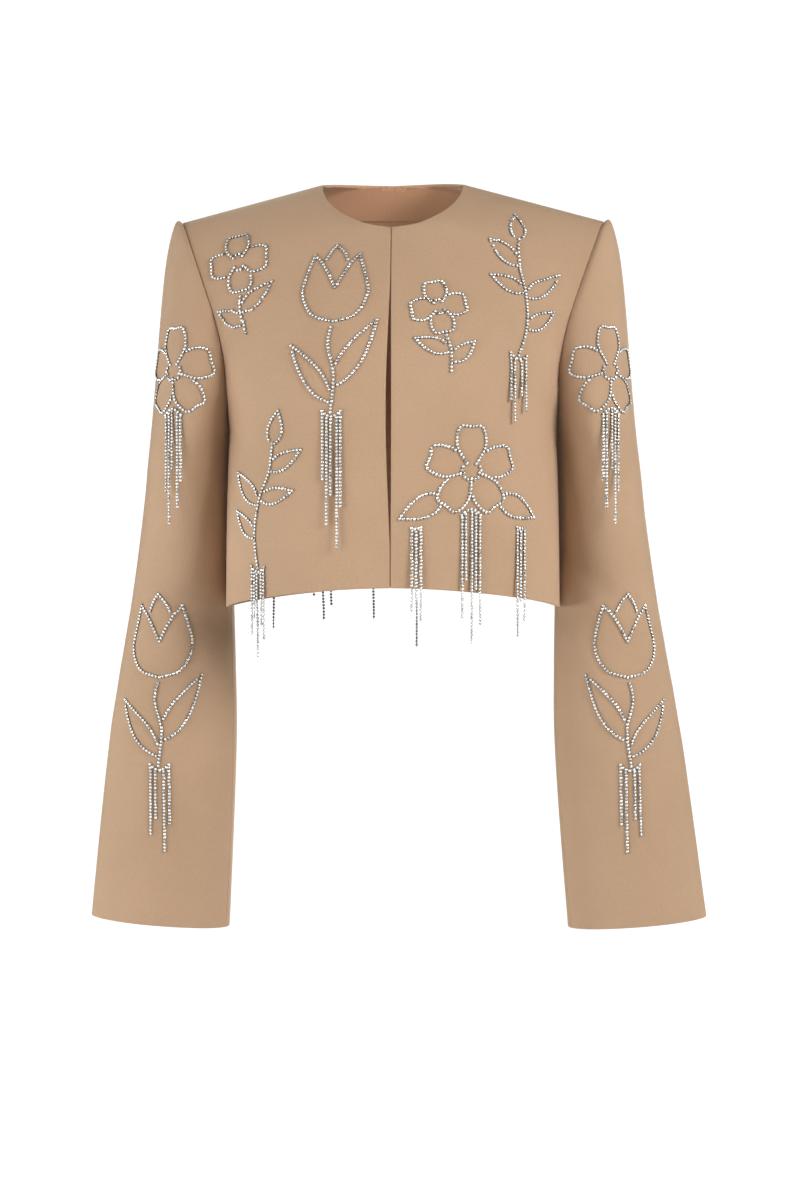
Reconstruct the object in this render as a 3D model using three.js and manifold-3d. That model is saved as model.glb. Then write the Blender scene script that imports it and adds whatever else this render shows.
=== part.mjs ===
// A cropped, collarless jacket for a woman, as it fills out when it is worn, with nobody in it.
// The two fronts meet edge to edge at the neck, the shoulders are squared, and the sleeves flare
// to the cuff. Crystal chains are laid on the cloth as flowers and leaves, and their ends hang free.
// Millimetres. +Z is up and the fronts face -Y, so the wearer's left is +X.
// The origin lies between the shoulder seams, where the wearer's shoulders carry the jacket.

import * as THREE from "three";
import { mergeGeometries, mergeVertices } from "three/addons/utils/BufferGeometryUtils.js";
import Module from "manifold-3d";

const wasm = await Module();
wasm.setup();

// Driving sizes of the cloth.
const CLOTH = 2; // the cloth and its lining together
const SEAM_GAP = 0.3; // between two pieces at a seam
const FACING = {
  gap: 0.8, // from the back's inside to the facing
  thickness: 1,
  lowZ: -9, // its lower edge at the middle of the back
  halfWidth: 84, // where it reaches the shoulder seam
  underSeam: 4, // how far it stops below that seam
  columns: 7,
  rows: 2,
};
const ROPE_HEIGHT = 3.5; // how far the sleeve head rises above the shoulder seam

// The fronts meet at the neck and stand apart below it.
const FRONT_GAP = 0.4; // from the middle to each front's edge, where the fronts meet
const EDGE_FADE = 3.2; // how far from the middle that distance fades out along the neckline
const BOW_TOP_Z = -85;
const BOW_LOW_Z = -335;
const BOW = { left: 0.6, right: 3.6 }; // how far each front's edge bows away from the middle

// Crystal chain, as a ridge of the real width and height.
const CHAIN = { width: 3.3, height: 2.4, lift: 0.8, step: 13 };
const STRAND = { width: 3, height: 2.4, lift: 0.95, step: 28 };
const BAR = { width: 3.6, height: 2.8, lift: 0.8, step: 12 }; // what a group of strands hangs from
const MOST_SAG = 0.35; // how far a ridge may sink towards the cloth between two of its points
const WALK_STEP = 6; // the longest step of a walk over the cloth

// How many faces each piece has. The sleeve has one face round it for each row of the armhole.
const FRONT_COLUMNS = 10;
const HALF_BACK_COLUMNS = 9;
const ROWS_BELOW_UNDERARM = 7;
const ROWS_OF_ARMHOLE = 12;
const SLEEVE_ROWS = 13;

// Edges of the fronts and the back, for the wearer's left half. t runs from 0 to 1 along each.
const CENTRE_FRONT = [
  { t: 0, y: -105, z: -369.5 },
  { t: 0.2, y: -108, z: -303 },
  { t: 0.4, y: -111, z: -236 },
  { t: 0.58, y: -110.5, z: -176 },
  { t: 0.75, y: -101, z: -119 },
  { t: 0.88, y: -86, z: -75 },
  { t: 1, y: -68, z: -35 },
];
const CENTRE_BACK = [
  { t: 0, y: 92, z: -368 },
  { t: 0.2, y: 94, z: -290 },
  { t: 0.4, y: 99, z: -212 },
  { t: 0.6, y: 103, z: -134 },
  { t: 0.78, y: 95, z: -64 },
  { t: 0.91, y: 75, z: -13 },
  { t: 1, y: 55, z: 22 },
];
const FRONT_NECKLINE = [
  { t: 0, x: 0, y: -68, z: -35 },
  { t: 0.2, x: 21.4, y: -65, z: -31.4 },
  { t: 0.35, x: 35.3, y: -59.5, z: -25.6 },
  { t: 0.52, x: 48.3, y: -50, z: -17.5 },
  { t: 0.68, x: 58.3, y: -38, z: -7.8 },
  { t: 0.85, x: 65, y: -20, z: 5 },
  { t: 1, x: 66.5, y: 0, z: 14.7 },
];
const BACK_NECKLINE = [
  { t: 0, x: 0, y: 55, z: 22 },
  { t: 0.3, x: 28, y: 50.5, z: 22.3 },
  { t: 0.52, x: 45, y: 41, z: 21.5 },
  { t: 0.7, x: 56, y: 28, z: 19.5 },
  { t: 0.86, x: 63, y: 14, z: 17 },
  { t: 1, x: 66.5, y: 0, z: 14.7 },
];
const SIDE_SEAM = [
  { t: 0, x: 158, y: 0, z: -386.7 },
  { t: 0.5, x: 157, y: 0, z: -300 },
  { t: 0.85, x: 155, y: 0, z: -233 },
  { t: 1, x: 155, y: 0, z: -205 },
];
const FRONT_ARMHOLE = [
  { t: 0, x: 155, y: 0, z: -205 },
  { t: 0.1, x: 155, y: -23, z: -198 },
  { t: 0.2, x: 155.2, y: -40, z: -183 },
  { t: 0.31, x: 156, y: -50, z: -161 },
  { t: 0.42, x: 160, y: -53, z: -137 },
  { t: 0.53, x: 166, y: -53, z: -114 },
  { t: 0.64, x: 173.5, y: -50, z: -92 },
  { t: 0.75, x: 181, y: -44, z: -70 },
  { t: 0.85, x: 188.5, y: -34, z: -49 },
  { t: 0.93, x: 195, y: -20, z: -31 },
  { t: 0.97, x: 198.5, y: -10, z: -24 },
  { t: 1, x: 200, y: 0, z: -21 },
];
const BACK_ARMHOLE = [
  { t: 0, x: 155, y: 0, z: -205 },
  { t: 0.1, x: 155.5, y: 23, z: -199 },
  { t: 0.2, x: 157, y: 41, z: -185 },
  { t: 0.31, x: 161, y: 53, z: -164 },
  { t: 0.42, x: 167, y: 58.5, z: -139 },
  { t: 0.53, x: 174, y: 59, z: -114 },
  { t: 0.64, x: 180.5, y: 56, z: -92 },
  { t: 0.75, x: 186.5, y: 49, z: -70 },
  { t: 0.85, x: 192, y: 37, z: -49 },
  { t: 0.93, x: 197, y: 21, z: -31 },
  { t: 0.97, x: 199.2, y: 10, z: -24 },
  { t: 1, x: 200, y: 0, z: -21 },
];
const ARMHOLE_CENTRE = { y: 2, z: -118 };

// Where a panel's rows pass from its centre line to the neckline, and from the side to the armhole.
const UNDERARM_V = 0.42;
const FRONT_NECK_V = UNDERARM_V + (1 - UNDERARM_V) * (7 / ROWS_OF_ARMHOLE);
const BACK_NECK_V = UNDERARM_V + (1 - UNDERARM_V) * (8 / ROWS_OF_ARMHOLE);
// How round a row is, from a straight line at 0 to a quarter of the body's section at 1.
const ROUNDNESS = [
  { t: 0, round: 1 },
  { t: 0.42, round: 1 },
  { t: 0.6, round: 0.8 },
  { t: 0.8, round: 0.5 },
  { t: 1, round: 0 },
];
const SECTION_POWER = 2.35; // 2 is an ellipse, and more is squarer

// The left sleeve below the armhole, from the top down. outer and inner are its sides in x.
const SLEEVE = [
  { z: -240, outer: 233, inner: 155, midY: 14, halfDepth: 66, tilt: 0 },
  { z: -310, outer: 242.5, inner: 155.5, midY: 28, halfDepth: 62, tilt: 1.5 },
  { z: -386, outer: 255, inner: 154.5, midY: 43, halfDepth: 56, tilt: 3 },
  { z: -430, outer: 262.5, inner: 153.5, midY: 43, halfDepth: 54, tilt: 4 },
  { z: -500, outer: 272.5, inner: 153, midY: 39, halfDepth: 52, tilt: 5 },
  { z: -600, outer: 284.5, inner: 157.5, midY: 33, halfDepth: 51, tilt: 6 },
  { z: -687.5, outer: 294, inner: 162.5, midY: 26, halfDepth: 50, tilt: 5.5 },
];
const CAP_SHARE = 0.4; // the share of the sleeve's rows that shape its head
// How the head leaves the armhole: its slope at the top, the front and back, and the underarm.
const HEAD_TOP = { out: 66, up: 20 };
const HEAD_UNDER = { out: 6, up: -26 };
const HEAD_FORWARD = 30;
const HEAD_FALL = { top: 215, under: 34 }; // how steeply it arrives at the sleeve's first section
// The two sleeve seams, as angles round the sleeve: 0 is its outer side and 90 its front.
const SLEEVE_SEAM = { front: 165, back: 240 };
const SLEEVE_SEAM_GAP = 0.34; // in degrees, which is 0.3 mm on the sleeve
const SWING = { by: 4.5, fromZ: -386, toZ: -687 }; // how far both cuffs swing to the wearer's left

const toRadians = (degrees) => (degrees * Math.PI) / 180;
const mix = (a, b, share) => a + (b - a) * share;
const clamp01 = (value) => Math.min(1, Math.max(0, value));

// The value of one column at a key, on a smooth curve through the rows of a table.
function smooth(table, column, at, key = "t") {
  const rising = table[table.length - 1][key] > table[0][key];
  let i = 0;
  while (i < table.length - 2 && (rising ? at > table[i + 1][key] : at < table[i + 1][key])) i++;
  const slope = (j) => {
    const a = table[Math.max(0, j - 1)];
    const b = table[Math.min(table.length - 1, j + 1)];
    return (b[column] - a[column]) / (b[key] - a[key]);
  };
  const from = table[i];
  const to = table[i + 1];
  const span = to[key] - from[key];
  const s = (at - from[key]) / span;
  return (
    from[column] * (1 + 2 * s) * (1 - s) ** 2 +
    slope(i) * span * s * (1 - s) ** 2 +
    to[column] * s * s * (3 - 2 * s) +
    slope(i + 1) * span * s * s * (s - 1)
  );
}

function edgePoint(table, t) {
  const x = "x" in table[0] ? smooth(table, "x", t) : 0;
  return new THREE.Vector3(x, smooth(table, "y", t), smooth(table, "z", t));
}

// How far a front's edge stands from the middle at a height.
function frontEdgeX(z, bow) {
  const s = clamp01((z - BOW_LOW_Z) / (BOW_TOP_Z - BOW_LOW_Z));
  return FRONT_GAP + bow * Math.sin(Math.PI * s) ** 1.3;
}

// A point of the body: u runs from the centre line to the side or armhole, and v from hem to shoulder.
function bodyPoint(u, v, side, bow) {
  const isFront = side === "front";
  const neckV = isFront ? FRONT_NECK_V : BACK_NECK_V;
  const centre = isFront ? CENTRE_FRONT : CENTRE_BACK;
  const neckline = isFront ? FRONT_NECKLINE : BACK_NECKLINE;
  const armhole = isFront ? FRONT_ARMHOLE : BACK_ARMHOLE;
  const start =
    v < neckV ? edgePoint(centre, v / neckV) : edgePoint(neckline, (v - neckV) / (1 - neckV));
  const end =
    v < UNDERARM_V
      ? edgePoint(SIDE_SEAM, v / UNDERARM_V)
      : edgePoint(armhole, (v - UNDERARM_V) / (1 - UNDERARM_V));
  if (isFront) start.x += frontEdgeX(start.z, bow) * (1 - clamp01(start.x / EDGE_FADE));
  const angle = (u * Math.PI) / 2;
  const power = (value) => Math.abs(value) ** SECTION_POWER;
  const reach = (power(Math.cos(angle)) + power(Math.sin(angle))) ** (-1 / SECTION_POWER);
  const round = smooth(ROUNDNESS, "round", v);
  const easing = Math.abs(u) ** mix(2, 1, clamp01((v - 0.7) / 0.3));
  const out = mix(u, reach * Math.sin(angle), round);
  const deep = mix(1 - easing, reach * Math.cos(angle), round);
  const fall = mix(easing, u * u * (3 - 2 * u), round);
  const y = mix(end.y, start.y, deep) + (isFront ? -SEAM_GAP / 2 : SEAM_GAP / 2);
  return new THREE.Vector3(mix(start.x, end.x, out), y, mix(start.z, end.z, fall));
}

// The armhole's loop at an angle: 0 is the shoulder, 90 the front and 180 the underarm.
function armholePoint(degrees) {
  const turned = ((degrees % 360) + 360) % 360;
  return turned <= 180
    ? edgePoint(FRONT_ARMHOLE, 1 - turned / 180)
    : edgePoint(BACK_ARMHOLE, turned / 180 - 1);
}

// The way out of the armhole's loop in its own plane, which both walls' thickness follows there.
function armholeOut(point) {
  return new THREE.Vector3(0, point.y - ARMHOLE_CENTRE.y, point.z - ARMHOLE_CENTRE.z).normalize();
}

// A point on the sleeve below its head, at a height and an angle round it.
function sleeveSection(z, degrees) {
  const angle = toRadians(degrees);
  const outer = smooth(SLEEVE, "outer", z, "z");
  const inner = smooth(SLEEVE, "inner", z, "z");
  return new THREE.Vector3(
    (outer + inner) / 2 + ((outer - inner) / 2) * Math.cos(angle),
    smooth(SLEEVE, "midY", z, "z") - smooth(SLEEVE, "halfDepth", z, "z") * Math.sin(angle),
    z + smooth(SLEEVE, "tilt", z, "z") * Math.cos(angle),
  );
}

// A point of the left sleeve: around is an angle, and v runs from the armhole at 0 to the cuff at 1.
function sleevePoint(around, v) {
  const topZ = SLEEVE[0].z;
  const cuffZ = SLEEVE[SLEEVE.length - 1].z;
  if (v >= CAP_SHARE) return sleeveSection(mix(topZ, cuffZ, (v - CAP_SHARE) / (1 - CAP_SHARE)), around);
  const s = v / CAP_SHARE;
  const angle = toRadians(around);
  const upper = (1 + Math.cos(angle)) / 2;
  const from = armholePoint(around);
  from.x += SEAM_GAP;
  const to = sleeveSection(topZ, around);
  const leaving = new THREE.Vector3(
    mix(HEAD_UNDER.out, HEAD_TOP.out, upper),
    -HEAD_FORWARD * Math.sin(angle),
    mix(HEAD_UNDER.up, HEAD_TOP.up, upper),
  );
  const below = sleeveSection(topZ - 1, around);
  const arriving = below.sub(to).normalize().multiplyScalar(mix(HEAD_FALL.under, HEAD_FALL.top, upper));
  const point = new THREE.Vector3()
    .addScaledVector(from, (1 + 2 * s) * (1 - s) ** 2)
    .addScaledVector(leaving, s * (1 - s) ** 2)
    .addScaledVector(to, s * s * (3 - 2 * s))
    .addScaledVector(arriving, s * s * (s - 1));
  const rope = ROPE_HEIGHT * Math.max(0, Math.cos(angle)) * Math.exp(-(((s - 0.1) / 0.08) ** 2));
  return point.addScaledVector(armholeOut(from), rope * Math.min(1, s / 0.05));
}

// A surface's normal at a place, from two short steps across it, turned by the sign given.
function normalAt(surface, u, v, sign) {
  const h = 1e-3;
  const across = surface(u + h, v).sub(surface(u - h, v));
  const along = surface(u, Math.min(1, v + h)).sub(surface(u, Math.max(0, v - h)));
  return across.cross(along).normalize().multiplyScalar(sign);
}

// The rows of a body panel, with one exactly at the underarm, and the columns of a sleeve.
const bodyRows = [];
for (let j = 0; j < ROWS_BELOW_UNDERARM; j++) bodyRows.push((UNDERARM_V * j) / ROWS_BELOW_UNDERARM);
for (let j = 0; j <= ROWS_OF_ARMHOLE; j++) bodyRows.push(mix(UNDERARM_V, 1, j / ROWS_OF_ARMHOLE));

const evenly = (from, to, count) => Array.from({ length: count + 1 }, (_, i) => mix(from, to, i / count));

// A panel joins a surface, its outward normal, and the columns and rows that its faces run between.
// rim gives the way that the wall's thickness runs at an edge, or null where it is the normal.
function bodyPanel(side, bow) {
  const surface = (u, v) => bodyPoint(u, v, side, bow);
  const shoulder = new THREE.Vector3()
    .subVectors(edgePoint(FRONT_ARMHOLE, 1), edgePoint(FRONT_NECKLINE, 1))
    .cross(new THREE.Vector3(0, 1, 0))
    .normalize();
  const rim = (u, v) => {
    if (u > 0.999 && v >= UNDERARM_V) return armholeOut(surface(u, v));
    if (v > 0.999) return shoulder.clone();
    return u > 0.999 ? new THREE.Vector3(1, 0, 0) : null;
  };
  const normal = (u, v) => normalAt(surface, u, v, side === "front" ? 1 : -1);
  const count = side === "front" ? FRONT_COLUMNS : HALF_BACK_COLUMNS;
  return { surface, normal, rim, columns: evenly(0, 1, count), rows: bodyRows };
}

const frontLeft = bodyPanel("front", BOW.left);
const frontRight = bodyPanel("front", BOW.right);
const backHalf = bodyPanel("back", 0);

// The sleeve's pieces lie either side of its two seams. u is an angle round the sleeve.
function sleevePanel(from, to) {
  const count = Math.round(((to - from) / 180) * ROWS_OF_ARMHOLE);
  const columns = evenly(from, to, count);
  columns[0] += SLEEVE_SEAM_GAP / 2;
  columns[count] -= SLEEVE_SEAM_GAP / 2;
  const rim = (around, v) => (v < 1e-6 ? armholeOut(armholePoint(around)) : null);
  const normal = (around, v) => normalAt(sleevePoint, around, v, 1);
  return { surface: sleevePoint, normal, rim, columns, rows: evenly(0, 1, SLEEVE_ROWS) };
}

const topSleeve = sleevePanel(SLEEVE_SEAM.back - 360, SLEEVE_SEAM.front);
const underSleeve = sleevePanel(SLEEVE_SEAM.front, SLEEVE_SEAM.back);

// A point under a panel's surface at a depth, or over it where the depth is negative.
function layerPoint(panel, u, v, depth) {
  const outward = (panel.rim && panel.rim(u, v)) || panel.normal(u, v);
  return panel.surface(u, v).addScaledVector(outward, -depth);
}

// A geometry from points and faces, turned so that its faces point out.
function closedGeometry(points, index) {
  const geometry = new THREE.BufferGeometry();
  const positions = points.flatMap((point) => point.toArray());
  geometry.setAttribute("position", new THREE.Float32BufferAttribute(positions, 3));
  let volume = 0;
  for (let k = 0; k < index.length; k += 3) {
    const [a, b, c] = [points[index[k]], points[index[k + 1]], points[index[k + 2]]];
    volume += a.dot(new THREE.Vector3().crossVectors(b, c));
  }
  if (volume < 0) {
    for (let k = 0; k < index.length; k += 3) [index[k + 1], index[k + 2]] = [index[k + 2], index[k + 1]];
  }
  geometry.setIndex(index);
  return geometry;
}

// The wall of a panel between two depths. It is closed, but for the part of its first edge
// that lies below openUntil.
function wall(panel, near = 0, far = CLOTH, openUntil = -1) {
  const columns = panel.columns.length;
  const rows = panel.rows.length;
  const points = [near, far].flatMap((depth) =>
    panel.rows.flatMap((v) => panel.columns.map((u) => layerPoint(panel, u, v, depth))),
  );
  const layer = columns * rows;
  const index = [];
  const face = (a, b, c, d) => index.push(a, b, c, a, c, d);
  for (let j = 0; j < rows - 1; j++) {
    for (let i = 0; i < columns - 1; i++) {
      const a = j * columns + i;
      face(a, a + 1, a + columns + 1, a + columns);
      face(layer + a, layer + a + columns, layer + a + columns + 1, layer + a + 1);
    }
  }
  for (let i = 0; i < columns - 1; i++) {
    const last = (rows - 1) * columns + i;
    face(i, layer + i, layer + i + 1, i + 1);
    face(last, last + 1, layer + last + 1, layer + last);
  }
  for (let j = 0; j < rows - 1; j++) {
    const start = j * columns;
    const end = start + columns - 1;
    if (panel.rows[j + 1] > openUntil + 1e-9) {
      face(start, start + columns, layer + start + columns, layer + start);
    }
    face(end, layer + end, layer + end + columns, end + columns);
  }
  return closedGeometry(points, index);
}

// The point of a panel's faces at a place and a depth, which is a little under its smooth surface.
function facePoint(panel, place, depth = 0) {
  const cell = (edges, at) => {
    let k = 0;
    while (k < edges.length - 2 && at > edges[k + 1]) k++;
    return [edges[k], edges[k + 1], (at - edges[k]) / (edges[k + 1] - edges[k])];
  };
  const [u0, u1, s] = cell(panel.columns, place.u);
  const [v0, v1, t] = cell(panel.rows, place.v);
  const near = layerPoint(panel, u0, v0, depth);
  const far = layerPoint(panel, u1, v1, depth);
  const corner = s > t ? layerPoint(panel, u1, v0, depth) : layerPoint(panel, u0, v1, depth);
  const [less, more] = s > t ? [t, s] : [s, t];
  return near.multiplyScalar(1 - more).addScaledVector(corner, more - less).addScaledVector(far, less);
}

// The neck facing lies under the back's faces, from the neckline to its own lower edge.
function facingPlace(s, down) {
  const neckline = { u: 0, v: mix(BACK_NECK_V, 0.96, s) };
  const x = FACING.halfWidth * s;
  const rise = clamp01((x - 36) / (FACING.halfWidth - 36));
  const seamZ = smooth(BACK_NECKLINE, "z", 1) - FACING.underSeam;
  const low = placeAt(backHalf, x, mix(FACING.lowZ, seamZ, rise * rise), { u: 0.1 * s, v: 0.8 });
  return { u: mix(neckline.u, low.u, down), v: mix(neckline.v, low.v, down) };
}

const halfFacing = {
  surface: (s, down) => facePoint(backHalf, facingPlace(s, down), CLOTH + FACING.gap),
  normal: (s, down) => {
    const place = facingPlace(s, down);
    return backHalf.normal(place.u, place.v);
  },
  columns: evenly(0, 1, FACING.columns),
  rows: evenly(0, 1, FACING.rows),
};

// One step over a panel in a direction of space, as the place that it leads to.
function stepOn(panel, place, direction) {
  const h = 1e-3;
  const here = panel.surface(place.u, place.v);
  const alongU = panel.surface(place.u + h, place.v).sub(here).divideScalar(h);
  const alongV = panel.surface(place.u, place.v + h).sub(here).divideScalar(h);
  const uu = alongU.dot(alongU);
  const uv = alongU.dot(alongV);
  const vv = alongV.dot(alongV);
  const du = alongU.dot(direction);
  const dv = alongV.dot(direction);
  const scale = 1 / (uu * vv - uv * uv);
  return { u: place.u + (du * vv - dv * uv) * scale, v: place.v + (dv * uu - du * uv) * scale };
}

// The place on a panel that is seen at x and z from the front or the back.
function placeAt(panel, x, z, guess = { u: 0.5, v: 0.5 }) {
  let place = { ...guess };
  const h = 1e-4;
  for (let k = 0; k < 12; k++) {
    const here = panel.surface(place.u, place.v);
    const alongU = panel.surface(place.u + h, place.v).sub(here).divideScalar(h);
    const alongV = panel.surface(place.u, place.v + h).sub(here).divideScalar(h);
    const [dx, dz] = [x - here.x, z - here.z];
    const scale = 1 / (alongU.x * alongV.z - alongV.x * alongU.z);
    place.u += (dx * alongV.z - dz * alongV.x) * scale;
    place.v += (dz * alongU.x - dx * alongU.z) * scale;
  }
  return place;
}

// The place reached over the cloth from another: first sideways, to the right of someone who
// faces the panel, and then up.
function walk(panel, start, [right, up]) {
  const down = new THREE.Vector3(0, 0, -1);
  let place = start;
  for (const [distance, isUp] of [[right, false], [up, true]]) {
    const steps = Math.ceil(Math.abs(distance) / WALK_STEP);
    for (let k = 0; k < steps; k++) {
      const normal = panel.normal(place.u, place.v);
      const direction = new THREE.Vector3().crossVectors(normal, down).normalize();
      if (isUp) direction.cross(normal).negate();
      place = stepOn(panel, place, direction.multiplyScalar(distance / steps));
    }
  }
  return place;
}

// A ridge of triangular section along points, each with the way that its top faces.
function ridge(stations, size) {
  const points = [];
  stations.forEach(({ point, out }, i) => {
    const before = stations[Math.max(0, i - 1)].point;
    const after = stations[Math.min(stations.length - 1, i + 1)].point;
    const side = new THREE.Vector3().subVectors(after, before).cross(out).normalize();
    points.push(point.clone().addScaledVector(side, size.width / 2));
    points.push(point.clone().addScaledVector(side, -size.width / 2));
    points.push(point.clone().addScaledVector(out, size.height));
  });
  const index = [0, 1, 2];
  for (let i = 0; i < stations.length - 1; i++) {
    for (let k = 0; k < 3; k++) {
      const [a, b] = [3 * i + k, 3 * i + ((k + 1) % 3)];
      index.push(a, a + 3, b, b, a + 3, b + 3);
    }
  }
  const last = 3 * (stations.length - 1);
  index.push(last, last + 2, last + 1);
  return closedGeometry(points, index);
}

function mirrored(geometry) {
  const copy = geometry.clone().scale(-1, 1, 1);
  const index = copy.index.array;
  for (let k = 0; k < index.length; k += 3) [index[k + 1], index[k + 2]] = [index[k + 2], index[k + 1]];
  return copy;
}

// A piece made of a half and its mirror image, which meet at x = 0.
function bothHalves(half) {
  return mergeVertices(mergeGeometries([half, mirrored(half)]), 1e-4);
}

function toManifold(geometry) {
  const vertProperties = new Float32Array(geometry.attributes.position.array);
  const triVerts = new Uint32Array(geometry.index.array);
  return new wasm.Manifold(new wasm.Mesh({ numProp: 3, vertProperties, triVerts }));
}

function joined(geometries) {
  const whole = geometries.map(toManifold).reduce((sum, piece) => sum.add(piece));
  const mesh = whole.simplify(0.03).getMesh();
  const geometry = new THREE.BufferGeometry();
  geometry.setAttribute("position", new THREE.Float32BufferAttribute(mesh.vertProperties, 3));
  geometry.setIndex(new THREE.Uint32BufferAttribute(mesh.triVerts, 1));
  return geometry;
}

// A place on a panel as a station of a ridge, lifted off the panel's faces.
function station(panel, place, lift) {
  const out = panel.normal(place.u, place.v);
  return { place, point: facePoint(panel, place).addScaledVector(out, lift), out };
}

// Stations with more between them wherever the ridge would otherwise sink towards the cloth.
function refined(panel, stations, lift) {
  return stations.flatMap((from, i) => {
    const to = stations[i + 1];
    if (!to || !from.place || !to.place) return [from];
    const halfway = { u: mix(from.place.u, to.place.u, 0.5), v: mix(from.place.v, to.place.v, 0.5) };
    const middle = station(panel, halfway, lift);
    const straight = from.point.clone().lerp(to.point, 0.5);
    return straight.sub(middle.point).dot(middle.out) < -MOST_SAG ? [from, middle] : [from];
  });
}

// The place on the cloth of a point that is drawn in millimetres from the middle of a motif.
function placeOf(motif, drawn) {
  const turned = drawn.clone().multiplyScalar(motif.scale ?? 1);
  turned.rotateAround(new THREE.Vector2(), toRadians(motif.turn ?? 0));
  return walk(motif.on, motif.at, turned.toArray());
}

// One line of a motif, drawn smoothly over the cloth.
function chainLine(motif, line, size = CHAIN) {
  const curve = new THREE.SplineCurve(line.map(([a, b]) => new THREE.Vector2(a, b)));
  const fromLength = Math.round((curve.getLength() * (motif.scale ?? 1)) / size.step);
  const count = Math.max(Math.min(3, line.length - 1), fromLength);
  const places = curve.getSpacedPoints(count).map((drawn) => placeOf(motif, drawn));
  const stations = places.map((place) => station(motif.on, place, size.lift));
  return ridge(refined(motif.on, stations, size.lift), size);
}

// A strand that lies on the cloth under its own weight and hangs free where the cloth falls away.
function strand(panel, start, length) {
  const count = Math.max(2, Math.round(length / STRAND.step));
  const step = length / count;
  const down = new THREE.Vector3(0, 0, -1);
  const stations = [station(panel, start, STRAND.lift)];
  let place = start;
  let onCloth = true;
  for (let k = 0; k < count; k++) {
    const { point, out } = stations[stations.length - 1];
    const free = { point: point.clone().addScaledVector(down, step), out };
    if (onCloth) {
      const slope = down.clone().addScaledVector(out, -down.dot(out)).normalize();
      place = stepOn(panel, place, slope.multiplyScalar(step));
      onCloth = place.v > panel.rows[0] && place.v < panel.rows[panel.rows.length - 1];
    }
    const laid = onCloth ? station(panel, place, STRAND.lift) : free;
    const isClear = new THREE.Vector3().subVectors(free.point, laid.point).dot(laid.out) > 0;
    stations.push(isClear ? { point: free.point, out: laid.out } : laid);
  }
  return ridge(refined(panel, stations, STRAND.lift), STRAND);
}

// A bar of chain with a group of strands under it, evenly spaced between its ends.
function fringe(motif, group) {
  const curve = new THREE.SplineCurve(group.bar.map(([a, b]) => new THREE.Vector2(a, b)));
  const strands = group.lengths.map((length, k) => {
    const share = mix(0.03, 0.97, k / (group.lengths.length - 1)) + 0.03 * Math.sin(4 * k);
    return strand(motif.on, placeOf(motif, curve.getPointAt(share)), length);
  });
  return joined([chainLine(motif, group.bar, BAR), ...strands]);
}

// The drawn flowers. Each line is a row of points, as [right, up] from the motif's middle.
function polar(radius, degrees) {
  const angle = toRadians(degrees);
  return [radius * Math.cos(angle), radius * Math.sin(angle)];
}

// A leaf or petal from one tip to the other, as its two sides.
function leaf([x0, y0], [x1, y1], width) {
  const [dx, dy] = [x1 - x0, y1 - y0];
  const length = Math.hypot(dx, dy);
  const side = (sign) =>
    [0, 0.2, 0.45, 0.75, 1].map((t) => {
      const off = (sign * width * Math.sin(Math.PI * t ** 0.8)) / 2 / length;
      return [x0 + dx * t - dy * off, y0 + dy * t + dx * off];
    });
  return [side(1), side(-1)];
}

// Round petals about a ring, the first one at the top.
function roundedFlower(petals, radius, heart) {
  const half = 180 / petals;
  const lines = [];
  for (let k = 0; k < petals; k++) {
    const at = 90 + (360 * k) / petals;
    const shape = [[0.85 * heart, 1], [0.62 * radius, 0.85], [0.95 * radius, 0.42]];
    const rising = shape.map(([r, share]) => polar(r, at - share * half));
    const falling = shape.map(([r, share]) => polar(r, at + share * half)).reverse();
    lines.push([...rising, polar(0.93 * radius, at), ...falling]);
  }
  const ring = [0, 45, 90, 135, 180].map((degrees) => polar(heart, degrees));
  lines.push(ring, ring.map(([x, y]) => [x, -y]));
  return lines;
}

const TULIP = [
  [[0, 0], [-20, 7], [-31, 28], [-27, 52], [-22, 68]],
  [[-22, 68], [-12, 56], [0, 34]],
  [[0, 0], [20, 7], [31, 28], [27, 52], [22, 68]],
  [[22, 68], [12, 56], [0, 34]],
  [[-13, 57], [-7, 70], [0, 79]],
  [[13, 57], [7, 70], [0, 79]],
  [[0, 1], [4, -22], [-2, -50], [1, -84]],
  ...leaf([0, -62], [-40, 2], 19),
  ...leaf([0, -76], [38, -22], 17),
];
const SPRAY = [
  [[0, -70], [6, -35], [2, 0], [-8, 32], [-10, 58]],
  ...leaf([-10, 56], [-14, 92], 17),
  ...leaf([-7, 30], [-42, 54], 16),
  ...leaf([2, 0], [-36, 12], 16),
  ...leaf([3, -6], [38, 26], 17),
  ...leaf([5, -40], [36, -14], 15),
];
const BLOSSOM = roundedFlower(5, 43, 9);
const BLOSSOM_WITH_LEAVES = [
  ...BLOSSOM,
  ...leaf([-25, -24], [-66, -44], 20),
  ...leaf([25, -24], [66, -42], 20),
];
const BUD = [
  ...roundedFlower(4, 27, 7),
  [[0, -22], [2.5, -42], [-1, -62]],
  ...leaf([2.5, -44], [-27, -26], 14),
  ...leaf([1, -54], [25, -38], 13),
];

// Groups of strands, each from a bar that follows the drawing above it.
const underStem = (endY, lengths) => ({
  bar: [[-8.5, 1.5], [-5, -2], [0, -4], [5, -2], [8.5, 1.5]].map(([x, y]) => [x, endY + y]),
  lengths,
});
const underBlossom = (lengths) => ({
  bar: [[-9, -41], [-5, -37.5], [0, -35.5], [5, -37.5], [9, -41]],
  lengths,
});
const underLeftLeaf = (lengths) => ({ bar: [[-55, -52.5], [-51, -53.5], [-46.5, -52]], lengths });
const underRightLeaf = (lengths) => ({ bar: [[46.5, -51.5], [51, -53], [55, -52.5]], lengths });

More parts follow.
